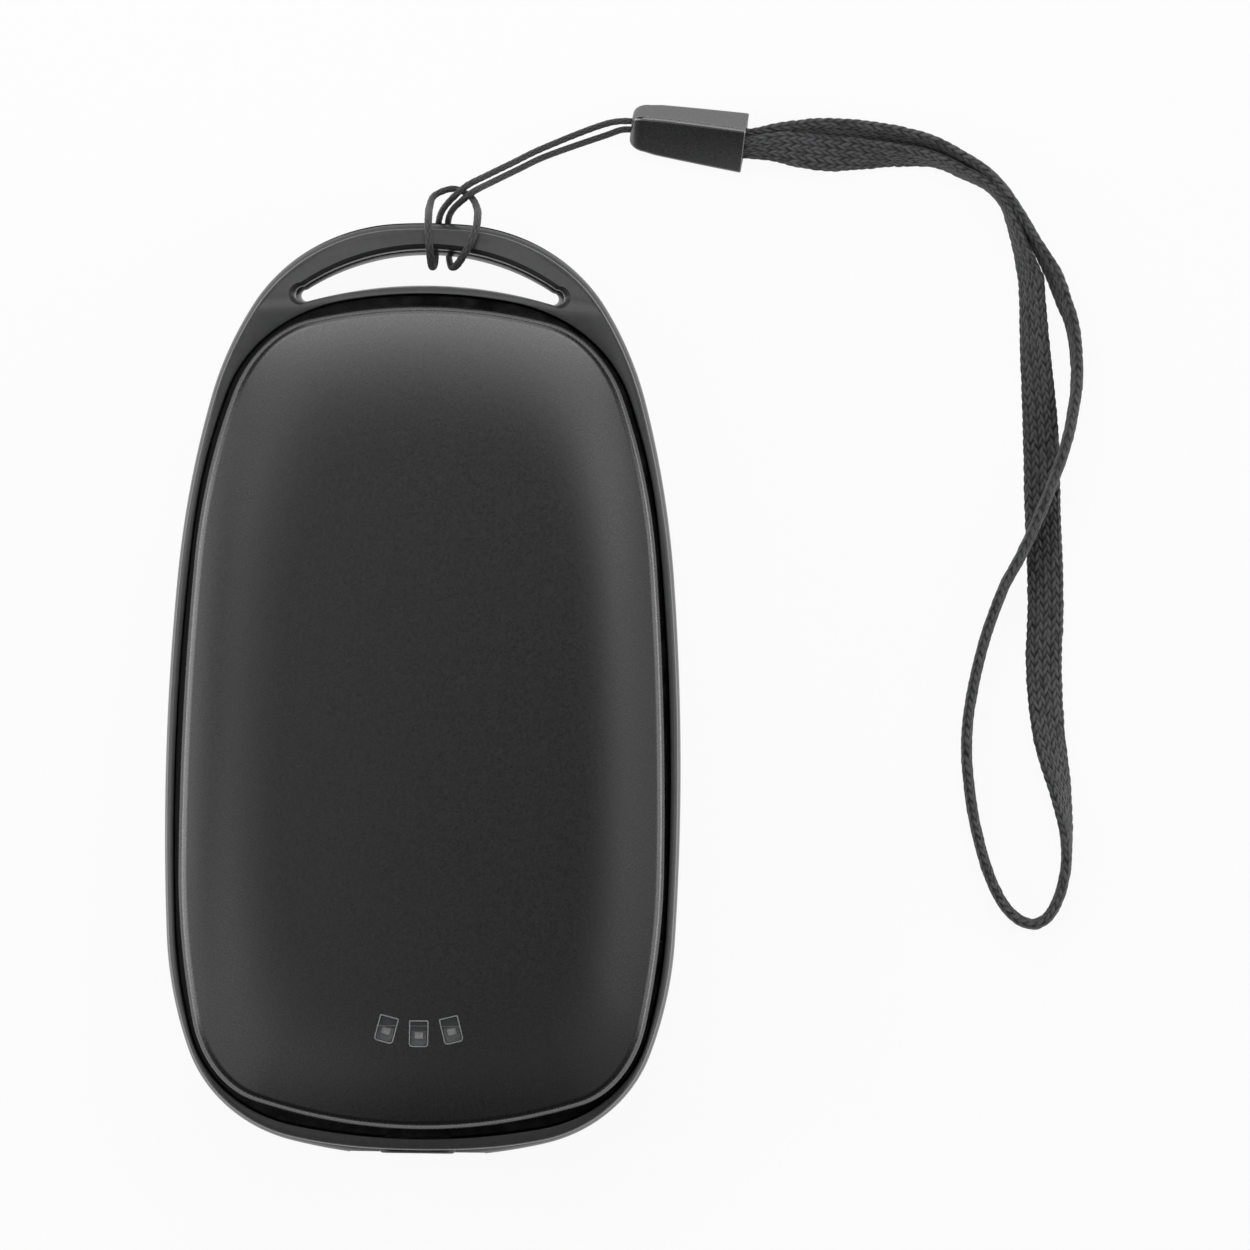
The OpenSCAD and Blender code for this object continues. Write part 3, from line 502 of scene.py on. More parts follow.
# The cord's middle line: out of the crimp, round the bar of the loop and back
cord_route = np.array(
    [
        crimp_point(CRIMP_GRIP - CRIMP_L, CORD_PITCH / 2, 0),
        crimp_point(-0.6 - CRIMP_L, CORD_PITCH / 2, 0),
        (20, 67, 2.7),
        (13, 64.1, 5),
        (9.5, 62.3, 7.2),
        (6.4, 60.7, 9.6),
        (4.2, 59.5, 11.4),
        (2.6, 58.1, 11.3),
        (1.4, 56.7, 9.2),
        (0.9, 55.4, 6.8),
        (0.8, 53.6, 6.1),
        (0.6, 51.5, 6.3),
        (0.5, 50.2, 8.9),
        (0.3, 49.8, 13),
        (0.1, 50.2, 17),
        (-0.15, 52.2, 18.95),
        (-0.3, 54.2, 18.4),
        (-0.3, 55.6, 16.6),
        (-0.2, 56.9, 13.4),
        (0.4, 58.3, 11),
        (2.6, 59.1, 10.1),
        (4.6, 58.2, 11),
        (5.4, 56.8, 13.4),
        (5.5, 55.6, 16.6),
        (5.3, 54.2, 18.4),
        (4.5, 52.2, 18.95),
        (3.3, 50.2, 17),
        (2.6, 49.8, 13),
        (2.3, 50.2, 8.9),
        (2.1, 51.5, 6.3),
        (2, 53.6, 6.1),
        (2, 55.4, 6.8),
        (2.5, 56.6, 9.2),
        (3.5, 57.6, 11.3),
        (5, 58.8, 11.9),
        (7.2, 60, 9.6),
        (10.1, 61.5, 7.2),
        (13.5, 63.2, 5),
        (20.5, 65.8, 2.5),
        crimp_point(-0.6 - CRIMP_L, -CORD_PITCH / 2, 0),
        crimp_point(CRIMP_GRIP - CRIMP_L, -CORD_PITCH / 2, 0),
    ]
)

WEB_W, WEB_T, STRAND_Z = 4.4, 1.3, 0.7
# The webbing's middle line, and its roll in degrees about that line
web_route = np.array(
    [
        (*crimp_point(-CRIMP_GRIP, 0, STRAND_Z), -CRIMP_ROLL),
        (*crimp_point(0.4, 0, STRAND_Z), -CRIMP_ROLL),
        (40.9, 64.7, 3.95, -15),
        (43.6, 64.4, 3.6, -5),
        (46, 64.1, 3.3, -2),
        (49.5, 64, 2.9, -25),
        (52.9, 64, 2.5, -48),
        (56.5, 63.9, 2.35, -63),
        (59.9, 63.4, 2.3, -77),
        (63.3, 61.9, 2.3, -81),
        (65.9, 60.6, 2.3, -84),
        (67.8, 58.7, 2.3, -86),
        (68.8, 56.5, 2.3, -81),
        (69.9, 53.3, 2.3, -73),
        (71.1, 49.7, 2.2, -52),
        (71.4, 46.9, 2.1, -49),
        (71.7, 42.2, 1.9, -40),
        (72.2, 36.6, 1.6, -26),
        (72.7, 30, 0.95, -8),
        (72.9, 24, 0.7, 0),
        (73.5, 11.5, 0.7, 0),
        (73.4, 3.5, 1.1, 8),
        (74.1, -4.5, 1.9, 30),
        (75.6, -11.5, 2.3, 60),
        (76.4, -17.5, 2.3, 85),
        (76, -22.3, 2.3, 90),
        (74.4, -26, 2.3, 90),
        (72.2, -27, 2.3, 90),
        (69.3, -25.1, 2.3, 90),
        (66.8, -20, 2.3, 90),
        (64.9, -12, 2.3, 90),
        (64.4, -4, 2.3, 90),
        (65.9, 5, 2.4, 90),
        (68.3, 12.4, 3, 90),
        (70.6, 17, 4, 90),
        (73.2, 23, 4.1, 90),
        (75.5, 29.6, 4.1, 88),
        (76.4, 33.8, 3, 87),
        (76.8, 37.3, 2.45, 85),
        (76.7, 40.4, 2.3, 83),
        (76.2, 43.9, 2.3, 79),
        (75.1, 47, 2.3, 73),
        (74, 49.8, 2.3, 71),
        (72.8, 52, 2.3, 76),
        (71.5, 54.1, 2.3, 81),
        (70.5, 55.9, 2.3, 84),
        (69.2, 58, 2.3, 87),
        (67.5, 60.4, 2.3, 88),
        (65.4, 62.3, 2.3, 85),
        (63.1, 63.6, 2.3, 80),
        (59.6, 65.2, 2.3, 72),
        (56.1, 66, 2.3, 63),
        (52.7, 66.4, 2.3, 57),
        (49.3, 66.7, 2.3, 55),
        (46, 66.8, 2.4, 56),
        (43.7, 66.6, 2.4, 58),
        (40.8, 66.3, 2.6, 58),
        (*crimp_point(0.4, 0, -STRAND_Z), CRIMP_ROLL),
        (*crimp_point(-CRIMP_GRIP, 0, -STRAND_Z), CRIMP_ROLL),
    ]
)


def spline(route, step):
    """Points at equal steps on a smooth curve through a route, by its first three columns."""
    chord = np.linalg.norm(np.diff(route[:, :3], axis=0), axis=1)
    knot = np.concatenate([[0], np.cumsum(np.sqrt(chord))])
    rows = []
    for i in range(len(route) - 1):
        a, b = max(i - 1, 0), min(i + 2, len(route) - 1)
        h = knot[i + 1] - knot[i]
        ma = (route[i + 1] - route[a]) / (knot[i + 1] - knot[a]) * h
        mb = (route[b] - route[i]) / (knot[b] - knot[i]) * h
        for t in np.arange(24) / 24:
            rows.append(
                (2 * t**3 - 3 * t**2 + 1) * route[i]
                + (t**3 - 2 * t**2 + t) * ma
                + (3 * t**2 - 2 * t**3) * route[i + 1]
                + (t**3 - t**2) * mb
            )
    rows.append(route[-1])
    fine = np.array(rows)
    at = np.concatenate([[0], np.cumsum(np.linalg.norm(np.diff(fine[:, :3], axis=0), axis=1))])
    want = np.linspace(0, at[-1], int(at[-1] / step) + 1)
    return np.column_stack([np.interp(want, at, fine[:, k]) for k in range(fine.shape[1])]), at[-1]


def unit(v):
    """Vectors brought to length 1."""
    return v / np.linalg.norm(v, axis=-1, keepdims=True)


def directions(path):
    """The way ahead at each point of a path."""
    ahead = np.vstack([path[1:], path[-1:]])
    behind = np.vstack([path[:1], path[:-1]])
    return unit(ahead - behind)


def carried_up(ways):
    """Normals carried along a path without twist."""
    up = np.array([0.0, 0.0, 1.0])
    rows = []
    for way in ways:
        up = unit(up - way * (up @ way))
        rows.append(up)
    return np.array(rows)


def set_shade(piece, shape, fibre):
    """Keeps for the material the height of the strands, which it turns into painted shade in the gaps and a
    painted highlight on the crests, and a value that runs across their fibres.
    """
    for name, values in (("strand", shape), ("fibre", fibre)):
        layer = piece.data.attributes.new(name, "FLOAT", "POINT")
        layer.data.foreach_set("value", np.asarray(values, np.float32).ravel())


def make_cord(material):
    """Round braided cord, plumper where it lies high over the bar."""
    path, length = spline(cord_route, 0.11)
    ways = directions(path)
    up = carried_up(ways)
    side = np.cross(ways, up)
    angle = np.linspace(0, 2 * math.pi, 20, endpoint=False)
    at = np.linspace(0, length, len(path))[:, None]
    turns, pitch = 3, 3.4
    right = np.abs(np.sin(turns * angle + math.pi * turns * at / pitch))
    left = np.abs(np.sin(turns * angle - math.pi * turns * at / pitch))
    weave = np.maximum(right, left) * 0.65 + 0.35 * (right * left)
    plump = 1 + 0.2 * smooth((path[:, 2:3] - 10) / 5)
    radius = CORD_D / 2 * plump * (0.82 + 0.18 * weave)
    ring = np.cos(angle)[None, :, None] * up[:, None, :] - np.sin(angle)[None, :, None] * side[:, None, :]
    points = path[:, None, :] + radius[:, :, None] * ring
    points, faces = loft(list(points))
    piece = add_mesh("strap_cord_braid", points, faces, material, sharp=80)
    # The weave's height also goes to the material as painted shade in its gaps and a painted highlight on
    # its crests.
    set_shade(piece, weave, 3 * right + 5 * left)
    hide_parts("strap_cord")
    return piece, path, length


def web_section(around):
    """Points at equal steps round the flat section of the webbing, and the way out at each."""
    turn = np.linspace(0, 2 * math.pi, 720, endpoint=False)
    sx = np.sign(np.cos(turn)) * np.abs(np.cos(turn)) ** 0.45
    sy = np.sign(np.sin(turn)) * np.abs(np.sin(turn)) ** 0.8
    outline = np.column_stack([sx * (WEB_W / 2 - 0.1), sy * (WEB_T / 2 - 0.08)])
    closed = np.vstack([outline, outline[:1]])
    run = np.concatenate([[0], np.cumsum(np.hypot(*np.diff(closed, axis=0).T))])
    want = np.linspace(0, run[-1], around, endpoint=False)
    section = np.column_stack([np.interp(want, run, closed[:, k]) for k in (0, 1)])
    return section, unit(section / (WEB_W**2, WEB_T**2))


def braid(at, length, around):
    """Strands that lean to and fro from column to column: their height, and a value across their fibres."""
    columns, period, reach = 20, 1.1, 0.72
    stagger = np.array([0.0, 0.12, 0.5, 0.62])
    place = (np.arange(around) / around * columns)[None, :] + 0.5
    rng = np.random.default_rng(7)
    vary = rng.normal(0, 1, (int(length / period) + 8, columns, 3))
    shape = np.zeros((len(at), around))
    fibre = np.zeros((len(at), around))
    for step in (-1, 0, 1):
        column = np.floor(place).astype(int) + step
        off = 2 * (place - column) - 1
        lean = np.where(column % 2 == 0, 1.0, -1.0)
        u = at / period + stagger[column % 4]
        for k in (-1, 0, 1):
            stitch = np.floor(u).astype(int) + k
            early, skew, bold = np.moveaxis(vary[stitch + 3, (column + 0 * stitch) % columns], 2, 0)
            t = (u - stitch - 0.5 + 0.05 * early) / reach
            taper = np.clip(1 - t**2, 0, 1) ** 0.7
            side = (off - lean * (0.95 + 0.12 * skew) * t) / (1.2 * taper + 1e-6)
            leaf = np.clip(1 - side**2, 0, 1) ** 0.6 * taper**0.5 * (1 - 0.25 * t + 0.1 * bold)
            higher = leaf > shape
            shape = np.where(higher, leaf, shape)
            fibre = np.where(higher, side * 1.1 + 2.3 * bold + 3.7 * column, fibre)
    return shape, fibre


def make_webbing(material):
    """Flat braided webbing, squeezed narrower beside the crimp."""
    path, length = spline(web_route, 0.13)
    roll = np.radians(path[:, 3])[:, None]
    path = path[:, :3]
    ways = directions(path)
    flat = unit(np.cross(ways, (0, 0, 1)))
    rise = np.cross(flat, ways)
    across = np.cos(roll) * flat + np.sin(roll) * rise
    face = np.cos(roll) * rise - np.sin(roll) * flat
    section, out = web_section(120)
    at = np.linspace(0, length, len(path))[:, None]
    shape, fibre = braid(at, length, len(section))
    height = 0.24 * shape - 0.17
    squeeze = 0.7 + 0.3 * smooth((np.minimum(at, length - at) - CRIMP_GRIP) / 7.5)
    wide = section[:, 0] * squeeze + out[:, 0] * height
    thick = section[:, 1] * (1 + 0.1 * (1 - squeeze)) + out[:, 1] * height
    points = path[:, None] + wide[:, :, None] * across[:, None] + thick[:, :, None] * face[:, None]
    points, faces = loft(list(points))
    piece = add_mesh("strap_webbing_braid", points, faces, material, sharp=80)
    # The braid's height also goes to the material as painted shade in its gaps and a painted highlight on
    # its crests.
    set_shade(piece, shape, fibre)
    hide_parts("strap_webbing")
    return piece, path, length


def make_crimp(material):
    """A moulded sleeve with a rounded cord end and a straight mouth."""
    end, mouth_bevel, corner, bore = 1.9, 0.12, 0.5, 0.5

    def ring(x, line):
        return np.array([crimp_point(x, *p) for p in line])

    def box(w, t, r):
        r = min(r, 0.48 * t)
        return rounded_box(w, t, (r, r), count=9)

    small_w, small_t = CRIMP_W * CRIMP_TAPER, CRIMP_T * CRIMP_TAPER
    rings = []
    for a in np.radians(np.linspace(0, 90, 9)):
        inset = end * (1 - math.sin(a))
        line = box(small_w - 1.1 * inset, small_t - 0.85 * inset, corner)
        rings.append(ring(-CRIMP_L + end * (1 - math.cos(a)), line))
    for u in np.linspace(0.12, 1, 16):
        x = -CRIMP_L + end + (CRIMP_L - end - mouth_bevel) * u
        s = (x + CRIMP_L) / CRIMP_L
        wide = small_w + (CRIMP_W - small_w) * s + 0.1 * math.sin(math.pi * s)
        rings.append(ring(x, box(wide, small_t + (CRIMP_T - small_t) * s, corner)))
    rings.append(ring(0.0, box(CRIMP_W - 1.5 * mouth_bevel, CRIMP_T - 1.5 * mouth_bevel, 0.45)))
    points, faces = loft(rings)
    piece = add_mesh("strap_crimp_sleeve", points, faces, material)
    pocket = rounded_box(WEB_W + 0.2, 2 * WEB_T + 0.3, (0.5, 0.5))
    cut_away(piece, *loft([ring(x, pocket) for x in (-CRIMP_GRIP, 0.6)]))
    a = np.radians(np.arange(0, 360, 20))
    for s in (-1, 1):
        line = np.column_stack([s * CORD_PITCH / 2 + bore * np.cos(a), bore * np.sin(a)])
        cut_away(piece, *loft([ring(x - CRIMP_L, line) for x in (-0.6, CRIMP_GRIP)]))
    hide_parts("strap_crimp")
    return piece


# Port end


def make_button(material):
    """Oval cap with a rounded edge and a shallow dish, on its flange."""
    front, back, flange, edge, dish = RECESS_Y - 0.1, -50.85, 0.7, 0.4, 0.12
    wide, tall = BUTTON
    rings = [along_y(stadium(*BUTTON_FLANGE), y, BUTTON_Z) for y in (back + flange, back)]
    rings.append(along_y(stadium(wide, tall), back, BUTTON_Z))
    for a in np.radians((90, 75, 55, 35, 15)):
        line = stadium(*(s - 2 * edge * (1 - math.sin(a)) for s in BUTTON))
        rings.append(along_y(line, front + edge * (1 - math.cos(a)), BUTTON_Z))
    for k in (1.0, 0.8, 0.6, 0.4, 0.2):
        low = (tall - 2 * edge) * k
        rings.append(along_y(stadium(wide - tall + low, low), front + dish * (1 - k * k), BUTTON_Z))
    points, faces = loft(rings)
    piece = add_mesh("power_button_cap", points, faces, material, body="button")
    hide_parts("power_button")


def make_port(steel, contact_metal, tongue_material):
    """USB-C shell with a rolled lip, and its tongue with two rows of contacts."""
    mouth = RECESS_Y + 0.1
    lip = [(8.94, 3.2, 7.35), (8.94, 3.2, 0.12), (8.86, 3.12, 0.03), (8.7, 2.96, 0), (8.5, 2.76, 0.03)]
    lip += [(8.34, 2.6, 0.14), (8.34, 2.6, 6.35)]
    points, faces = loft([along_y(stadium(w, h), mouth + y, SOCKET_Z) for w, h, y in lip])
    shell = add_mesh("usb_c_shell", points, faces, steel)
    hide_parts("usb_c_socket")
    tip, edge = RECESS_Y + 0.8, 0.15
    rings = [along_y(rounded_box(*TONGUE, (0.2, 0.2)), tip + 5.65, SOCKET_Z)]
    for a in np.radians((90, 60, 30, 0)):
        line = rounded_box(*(s - 2 * edge * (1 - math.sin(a)) for s in TONGUE), (0.18, 0.18))
        rings.append(along_y(line, tip + edge * (1 - math.cos(a)), SOCKET_Z))
    points, faces = loft(rings)
    tongue = add_mesh("usb_c_tongue_core", points, faces, tongue_material)
    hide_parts("usb_c_tongue")
    count, pitch, half_w, half_h = 12, 0.5, 0.13, 0.02
    points, faces = [], []
    for z in (SOCKET_Z + 0.345, SOCKET_Z - 0.345):
        for k in range(count):
            x, b = (k - (count - 1) / 2) * pitch, len(points)
            for y in (RECESS_Y + 1.3, RECESS_Y + 4.2):
                corners = ((-1, -1), (1, -1), (1, 1), (-1, 1))
                points += [(x + half_w * i, y, z + half_h * j) for i, j in corners]
            faces += [(b + 3, b + 2, b + 1, b), (b + 4, b + 5, b + 6, b + 7)]
            faces += [(b + i, b + (i + 1) % 4, b + 4 + (i + 1) % 4, b + 4 + i) for i in range(4)]
    pins = add_mesh("usb_c_contacts", points, faces, contact_metal)


# Materials


def new_shader(name):
    """A material with one empty principled shader."""
    material = bpy.data.materials.new(name)
    material.use_nodes = True
    tree = material.node_tree
    tree.nodes.clear()
    out = tree.nodes.new("ShaderNodeOutputMaterial")
    shader = tree.nodes.new("ShaderNodeBsdfPrincipled")
    tree.links.new(shader.outputs[0], out.inputs[0])
    return material, tree, shader


def coordinates(tree, stretch=None):
    """Places on the piece itself, stretched if asked."""
    node = tree.nodes.new("ShaderNodeTexCoord")
    if stretch is None:
        return node.outputs["Object"]
    mapping = tree.nodes.new("ShaderNodeMapping")
    mapping.inputs["Scale"].default_value = stretch
    tree.links.new(node.outputs["Object"], mapping.inputs["Vector"])
    return mapping.outputs[0]


def noise_at(tree, where, size, detail=3.0, rough=0.5):
    """Noise whose features are about size millimetres."""
    node = tree.nodes.new("ShaderNodeTexNoise")
    node.inputs["Scale"].default_value = 1 / (size * MM)
    node.inputs["Detail"].default_value = detail
    node.inputs["Roughness"].default_value = rough
    tree.links.new(where, node.inputs["Vector"])
    return node.outputs["Fac"]


def ramp_of(tree, value, stops):
    """Colours between stops for a value."""
    node = tree.nodes.new("ShaderNodeValToRGB")
    ramp = node.color_ramp
    while len(ramp.elements) < len(stops):
        ramp.elements.new(0.5)
    for element, (place, color) in zip(ramp.elements, stops):
        element.position = place
        element.color = (*color, 1)
    tree.links.new(value, node.inputs[0])
    return node.outputs[0]


def math_of(tree, operation, *values):
    """A number made from others, which are outputs of nodes or plain floats."""
    node = tree.nodes.new("ShaderNodeMath")
    node.operation = operation
    for socket, value in zip(node.inputs, values):
        if isinstance(value, float):
            socket.default_value = value
        else:
            tree.links.new(value, socket)
    return node.outputs[0]


def range_of(tree, value, low, high, start=0.3, end=0.7):
    """A value between start and end as a number between low and high."""
    node = tree.nodes.new("ShaderNodeMapRange")
    for key, number in zip(("From Min", "From Max", "To Min", "To Max"), (start, end, low, high)):
        node.inputs[key].default_value = number
    tree.links.new(value, node.inputs["Value"])
    return node.outputs[0]


def bump_of(tree, value, depth, strength, under=None):
    """A bump of depth millimetres, over another one if given."""
    node = tree.nodes.new("ShaderNodeBump")
    node.inputs["Distance"].default_value = depth * MM
    node.inputs["Strength"].default_value = strength
    tree.links.new(value, node.inputs["Height"])
    if under is not None:
        tree.links.new(under, node.inputs["Normal"])
    return node.outputs[0]


def scaled(color, factor):
    """A colour made paler or darker."""
    return tuple(min(c * factor, 1) for c in color)


def plain(name, color, rough, vary=0.12, size=1.5, rough_vary=0.06, grain=None, stretch=None, **sockets):
    """A procedural material: colour and gloss wander by a little, over a fine grain."""
    material, tree, shader = new_shader(name)
    where = coordinates(tree, stretch)
    wander = noise_at(tree, where, size, 4.0)
    stops = [(0.3, scaled(color, 1 - vary)), (0.7, scaled(color, 1 + vary))]
    tree.links.new(ramp_of(tree, wander, stops), shader.inputs["Base Color"])
    gloss = noise_at(tree, where, size * 0.6, 3.0)
    tree.links.new(
        range_of(tree, gloss, max(rough - rough_vary, 0.02), min(rough + rough_vary, 1)),
        shader.inputs["Roughness"],
    )
    normal = None
    for grain_size, depth, strength in grain or [(0.3, 0.01, 0.3)]:
        normal = bump_of(tree, noise_at(tree, where, grain_size, 2.0), depth, strength, normal)
    tree.links.new(normal, shader.inputs["Normal"])
    for key, number in sockets.items():
        shader.inputs[key.replace("_", " ")].default_value = number
    material.diffuse_color = (*color, 1)
    return material


def yarn(name, color, high, low):
    """Braided yarn: painted shade between the strands and a painted highlight on their crests, with fibres
    along each strand.
    """
    material, tree, shader = new_shader(name)
    where = coordinates(tree)

    def kept(layer):
        """What set_shade keeps on the piece."""
        node = tree.nodes.new("ShaderNodeAttribute")
        node.attribute_name = layer
        return node.outputs["Fac"]

    lines = tree.nodes.new("ShaderNodeTexNoise")
    lines.noise_dimensions = "1D"
    lines.inputs["Scale"].default_value = 4.5
    lines.inputs["Detail"].default_value = 2.0
    lines.inputs["Roughness"].default_value = 0.7
    tree.links.new(kept("fibre"), lines.inputs["W"])
    fuzz = noise_at(tree, where, 0.1, 3.0, 0.7)
    along = math_of(tree, "MULTIPLY_ADD", lines.outputs["Fac"], 0.7, -0.6)
    fibres = math_of(tree, "MULTIPLY_ADD", fuzz, 0.5, along)
    # The strands' height paints shade into the gaps and a highlight onto the crests.
    tone = math_of(tree, "MULTIPLY_ADD", fibres, 0.75, kept("strand"))
    stops = [(0.3, low), (0.7, color), (1.0, high)]
    tree.links.new(ramp_of(tree, tone, stops), shader.inputs["Base Color"])
    shader.inputs["Roughness"].default_value = 0.6
    shader.inputs["Sheen Weight"].default_value = 0.2
    shader.inputs["Sheen Roughness"].default_value = 0.4
    shader.inputs["Specular IOR Level"].default_value = 0.4
    tree.links.new(bump_of(tree, fibres, 0.06, 0.6), shader.inputs["Normal"])
    material.diffuse_color = (*color, 1)
    return material


def gloss_black(name):
    """Polished black plastic with bright specks in its groove: partly dust, partly painted glints of light
    on burrs and edges.
    """
    material, tree, shader = new_shader(name)
    where = coordinates(tree)
    dust_and_glints = noise_at(tree, where, 0.28, 1.0)
    # The pale stop paints the specks: some dust, and painted glints that stand in for reflected light.
    stops = [(0.0, (0.004, 0.004, 0.005)), (0.79, (0.006, 0.006, 0.007)), (0.86, (0.25, 0.25, 0.25))]
    tree.links.new(ramp_of(tree, dust_and_glints, stops), shader.inputs["Base Color"])
    tree.links.new(range_of(tree, noise_at(tree, where, 2.0), 0.12, 0.26), shader.inputs["Roughness"])
    tree.links.new(bump_of(tree, noise_at(tree, where, 1.2), 0.03, 0.15), shader.inputs["Normal"])
    shader.inputs["Specular IOR Level"].default_value = 0.35
    material.diffuse_color = (0.006, 0.006, 0.007, 1)
    return material


def make_materials():
    """The materials of the pieces, by name. The inner solids get theirs at once."""
    made = {}
    made["frame"] = plain(
        "frame_plastic",
        (0.044, 0.0444, 0.0456),
        0.5,
        vary=0.08,
        size=1.0,
        grain=[(0.16, 0.012, 0.35)],
        Specular_IOR_Level=0.06,
        Coat_Weight=0.5,
        Coat_Roughness=0.22,
    )
    made["panel"] = plain(
        "panel_coating",
        (0.0075, 0.0075, 0.0079),
        0.28,
        vary=0.1,
        size=0.5,
        rough_vary=0.03,
        grain=[(0.5, 0.012, 0.25), (0.2, 0.006, 0.3)],
        Specular_IOR_Level=1.0,
    )
    made["chassis"] = gloss_black("chassis_plastic")
    made["button"] = plain("button_plastic", (0.03, 0.03, 0.033), 0.45, grain=[(0.16, 0.01, 0.3)])
    made["crimp"] = plain(
        "crimp_plastic",
        (0.012, 0.012, 0.0128),
        0.28,
        vary=0.06,
        size=0.8,
        rough_vary=0.02,
        grain=[(0.3, 0.003, 0.2)],
        Specular_IOR_Level=1.0,
        IOR=1.72,
    )
    # For both yarns: the paler colour is a painted highlight on the strands' crests, the darker one painted
    # shade between them.
    made["yarn"] = yarn("strap_yarn", (0.034, 0.034, 0.036), (0.085, 0.085, 0.088), (0.006, 0.006, 0.007))
    made["cord"] = yarn("cord_yarn", (0.036, 0.036, 0.038), (0.08, 0.08, 0.083), (0.012, 0.012, 0.013))
    made["lens"] = plain(
        "window_lens", (0.2, 0.205, 0.21), 0.12, rough_vary=0.04, grain=[(0.6, 0.01, 0.1)], Alpha=0.12
    )
    made["window_rim"] = plain("window_rim", (0.27, 0.273, 0.278), 0.4)
    made["window_pale"] = plain("window_pale", (0.16, 0.162, 0.166), 0.5, vary=0.3, size=0.3)
    made["window_chip"] = plain("window_chip", (0.5, 0.5, 0.49), 0.4, vary=0.2, size=0.3)
    made["window_dark"] = plain("window_dark", (0.02, 0.02, 0.022), 0.4)
    metal = dict(Metallic=1.0)
    made["socket_steel"] = plain(
        "socket_steel",
        (0.6, 0.61, 0.63),
        0.3,
        vary=0.05,
        grain=[(0.3, 0.004, 0.3)],
        stretch=(1, 0.15, 1),
        **metal,
    )
    made["contacts"] = plain("contact_gold", (0.8, 0.55, 0.22), 0.28, vary=0.06, **metal)
    made["tongue"] = plain("socket_plastic", (0.02, 0.02, 0.022), 0.5)
    inner = {
        ("front_heater", "rear_heater"): plain("heater_film", (0.5, 0.24, 0.07), 0.3, vary=0.25, size=2.5),
        ("front_foam", "rear_foam"): plain(
            "foam", (0.75, 0.75, 0.72), 0.9, vary=0.06, grain=[(0.5, 0.08, 0.6), (0.2, 0.04, 0.6)]
        ),
        ("thermistors",): plain("sensor_bead", (0.45, 0.1, 0.04), 0.1, vary=0.2, Coat_Weight=0.5),
        ("heater_leads",): plain("lead_white", (0.8, 0.79, 0.75), 0.45),
        ("battery_leads",): plain("lead_red", (0.5, 0.03, 0.02), 0.4),
        ("battery_cell",): plain(
            "pouch_foil",
            (0.7, 0.71, 0.72),
            0.3,
            vary=0.06,
            size=6,
            grain=[(3.0, 0.15, 0.3), (0.5, 0.02, 0.2)],
            **metal,
        ),
        ("battery_tape",): plain("tape", (0.85, 0.85, 0.8), 0.6, grain=[(1.0, 0.03, 0.3)]),
        ("battery_pad",): plain("pad_foam", (0.08, 0.08, 0.085), 0.85, grain=[(0.5, 0.08, 0.6)]),
        ("main_board", "protection_board"): plain(
            "board_green", (0.02, 0.13, 0.055), 0.3, vary=0.2, size=1.2, grain=[(0.8, 0.02, 0.4)]
        ),
        ("tact_switch",): plain("switch_plastic", (0.05, 0.05, 0.055), 0.45),
        ("switch_plunger",): plain("plunger_plastic", (0.4, 0.03, 0.02), 0.4),
        ("status_leds",): plain("led_body", (0.8, 0.76, 0.5), 0.25, vary=0.08, size=0.6),
        ("power_inductor",): plain("ferrite", (0.1, 0.1, 0.11), 0.6, grain=[(0.2, 0.02, 0.5)]),
        ("control_chips",): plain("chip_epoxy", (0.02, 0.02, 0.022), 0.55, grain=[(0.12, 0.01, 0.5)]),
        ("capacitors",): plain("capacitor_ceramic", (0.5, 0.36, 0.2), 0.35, vary=0.1),
        ("chassis_screws", "board_screws"): plain(
            "screw_steel", (0.3, 0.3, 0.32), 0.35, vary=0.1, grain=[(0.3, 0.01, 0.3)], **metal
        ),
        ("front_chassis", "rear_chassis"): made["chassis"],
    }
    for names, material in inner.items():
        for name in names:
            mesh = nodes[name].data
            mesh.materials.clear()
            mesh.materials.append(material)
    return made


# Stage


def make_floor():
    """White paper that keeps a soft shadow. The camera, reflections and glass see it nearly white."""
    size, depth, share_of_white = 6.0, -0.0002, 0.93
    corners = [(-size, -size, depth), (size, -size, depth), (size, size, depth), (-size, size, depth)]
    mesh = bpy.data.meshes.new("floor")
    mesh.from_pydata(corners, [], [(0, 1, 2, 3)])
    floor = bpy.data.objects.new("floor", mesh)
    bpy.context.scene.collection.objects.link(floor)
    material = bpy.data.materials.new("floor_white")
    material.use_nodes = True
    tree = material.node_tree
    tree.nodes.clear()
    out = tree.nodes.new("ShaderNodeOutputMaterial")
    paper = tree.nodes.new("ShaderNodeBsdfDiffuse")
    paper.inputs["Color"].default_value = (0.9, 0.9, 0.9, 1)
    glow = tree.nodes.new("ShaderNodeEmission")
    glow.inputs["Strength"].default_value = 1.0
    rays = tree.nodes.new("ShaderNodeLightPath").outputs
    seen = math_of(tree, "MAXIMUM", rays["Is Camera Ray"], rays["Is Glossy Ray"])
    seen = math_of(tree, "MAXIMUM", seen, rays["Is Transmission Ray"])
    mix = tree.nodes.new("ShaderNodeMixShader")
    tree.links.new(math_of(tree, "MULTIPLY", seen, share_of_white), mix.inputs[0])
    tree.links.new(paper.outputs[0], mix.inputs[1])
    tree.links.new(glow.outputs[0], mix.inputs[2])
    tree.links.new(mix.outputs[0], out.inputs[0])
    mesh.materials.append(material)


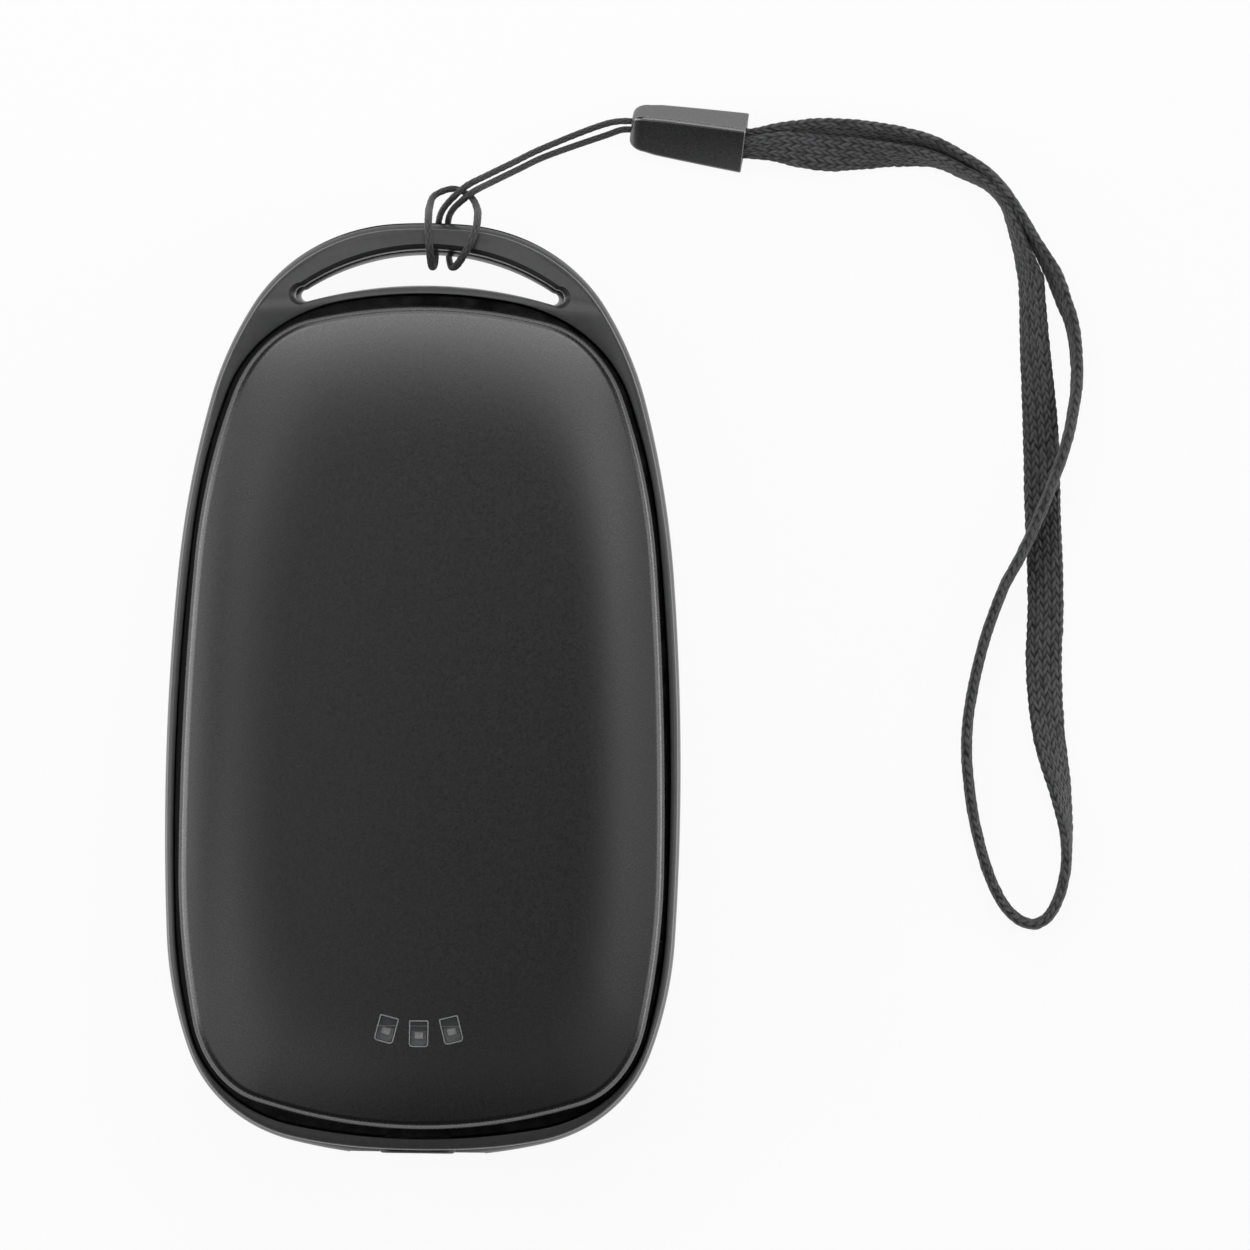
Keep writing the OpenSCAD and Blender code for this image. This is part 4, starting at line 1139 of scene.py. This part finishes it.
def make_horizon():
    """A pale band round the horizon under a dark sky."""
    world = bpy.data.worlds.new("studio")
    bpy.context.scene.world = world
    world.use_nodes = True
    tree = world.node_tree
    tree.nodes.clear()
    out = tree.nodes.new("ShaderNodeOutputWorld")
    sky = tree.nodes.new("ShaderNodeBackground")
    where = tree.nodes.new("ShaderNodeTexCoord")
    split = tree.nodes.new("ShaderNodeSeparateXYZ")
    tree.links.new(where.outputs["Generated"], split.inputs[0])
    white, black = (1, 1, 1), (0, 0, 0)
    stops = [(0.0, white), (0.15, white), (0.19, black), (1.0, black)]
    tree.links.new(ramp_of(tree, split.outputs["Z"], stops), sky.inputs["Color"])
    sky.inputs["Strength"].default_value = 2.6
    tree.links.new(sky.outputs[0], out.inputs[0])


def make_lamps():
    """Soft lamps round the part, the fewest at the port end, which stays darker as in the photo."""

    def lamp(name, turn, rise, far, wide, tall, level):
        """A lamp at a turn from +X, a rise above the floor and a distance, aimed at the part."""
        turn, rise = math.radians(turn), math.radians(rise)
        level_reach = math.cos(rise)
        way = (level_reach * math.cos(turn), level_reach * math.sin(turn), math.sin(rise))
        place = far * Vector(way)
        data = bpy.data.lights.new(name, "AREA")
        data.shape = "RECTANGLE"
        data.size, data.size_y = wide, tall
        data.energy = level * math.pi * wide * tall
        lamp_object = bpy.data.objects.new(name, data)
        lamp_object.location = place
        lamp_object.rotation_euler = (-place).to_track_quat("-Z", "Y").to_euler()
        lamp_object.visible_camera = False
        bpy.context.scene.collection.objects.link(lamp_object)

    lamp("strip_loop_end", 90, 58, 0.32, 0.3, 0.1, 2.6)
    lamp("side_loop_end", 90, 36, 0.5, 0.26, 0.2, 2.0)
    lamp("side_left", 180, 36, 0.5, 0.26, 0.2, 3.0)
    lamp("side_right", 0, 36, 0.5, 0.26, 0.2, 2.35)
    lamp("low_left", 180, 15, 0.5, 0.3, 0.14, 3.5)
    lamp("low_right", 0, 15, 0.5, 0.3, 0.14, 1.25)
    lamp("horizon_right", 0, 5, 0.5, 0.3, 0.07, 3.6)
    lamp("mid_left", 180, 52, 0.35, 0.16, 0.12, 1.1)
    lamp("corner_left_low", 225, 65, 0.3, 0.12, 0.12, 0.8)
    lamp("corner_left_high", 135, 65, 0.3, 0.12, 0.12, 0.75)
    lamp("corner_right_high", 45, 65, 0.3, 0.12, 0.12, 1.1)
    lamp("corner_right_low", 315, 65, 0.3, 0.12, 0.12, 0.3)
    lamp("high_right", 0, 65, 0.3, 0.12, 0.12, 0.7)
    lamp("high_loop_end", 90, 65, 0.3, 0.12, 0.12, 0.3)
    lamp("top_left", 180, 78, 0.3, 0.1, 0.1, 0.4)


# The part

make_camera()
skin = make_materials()
cord, cord_path, cord_length = make_cord(skin["cord"])
webbing, webbing_path, webbing_length = make_webbing(skin["yarn"])
crimp = make_crimp(skin["crimp"])
make_frames(skin["frame"])
make_panels(skin["panel"])
make_windows([skin[k] for k in ("lens", "window_rim", "window_pale", "window_chip", "window_dark")])
make_button(skin["button"])
make_port(skin["socket_steel"], skin["contacts"], skin["tongue"])
make_floor()
make_horizon()
make_lamps()

bpy.context.scene.view_settings.view_transform = "Standard"
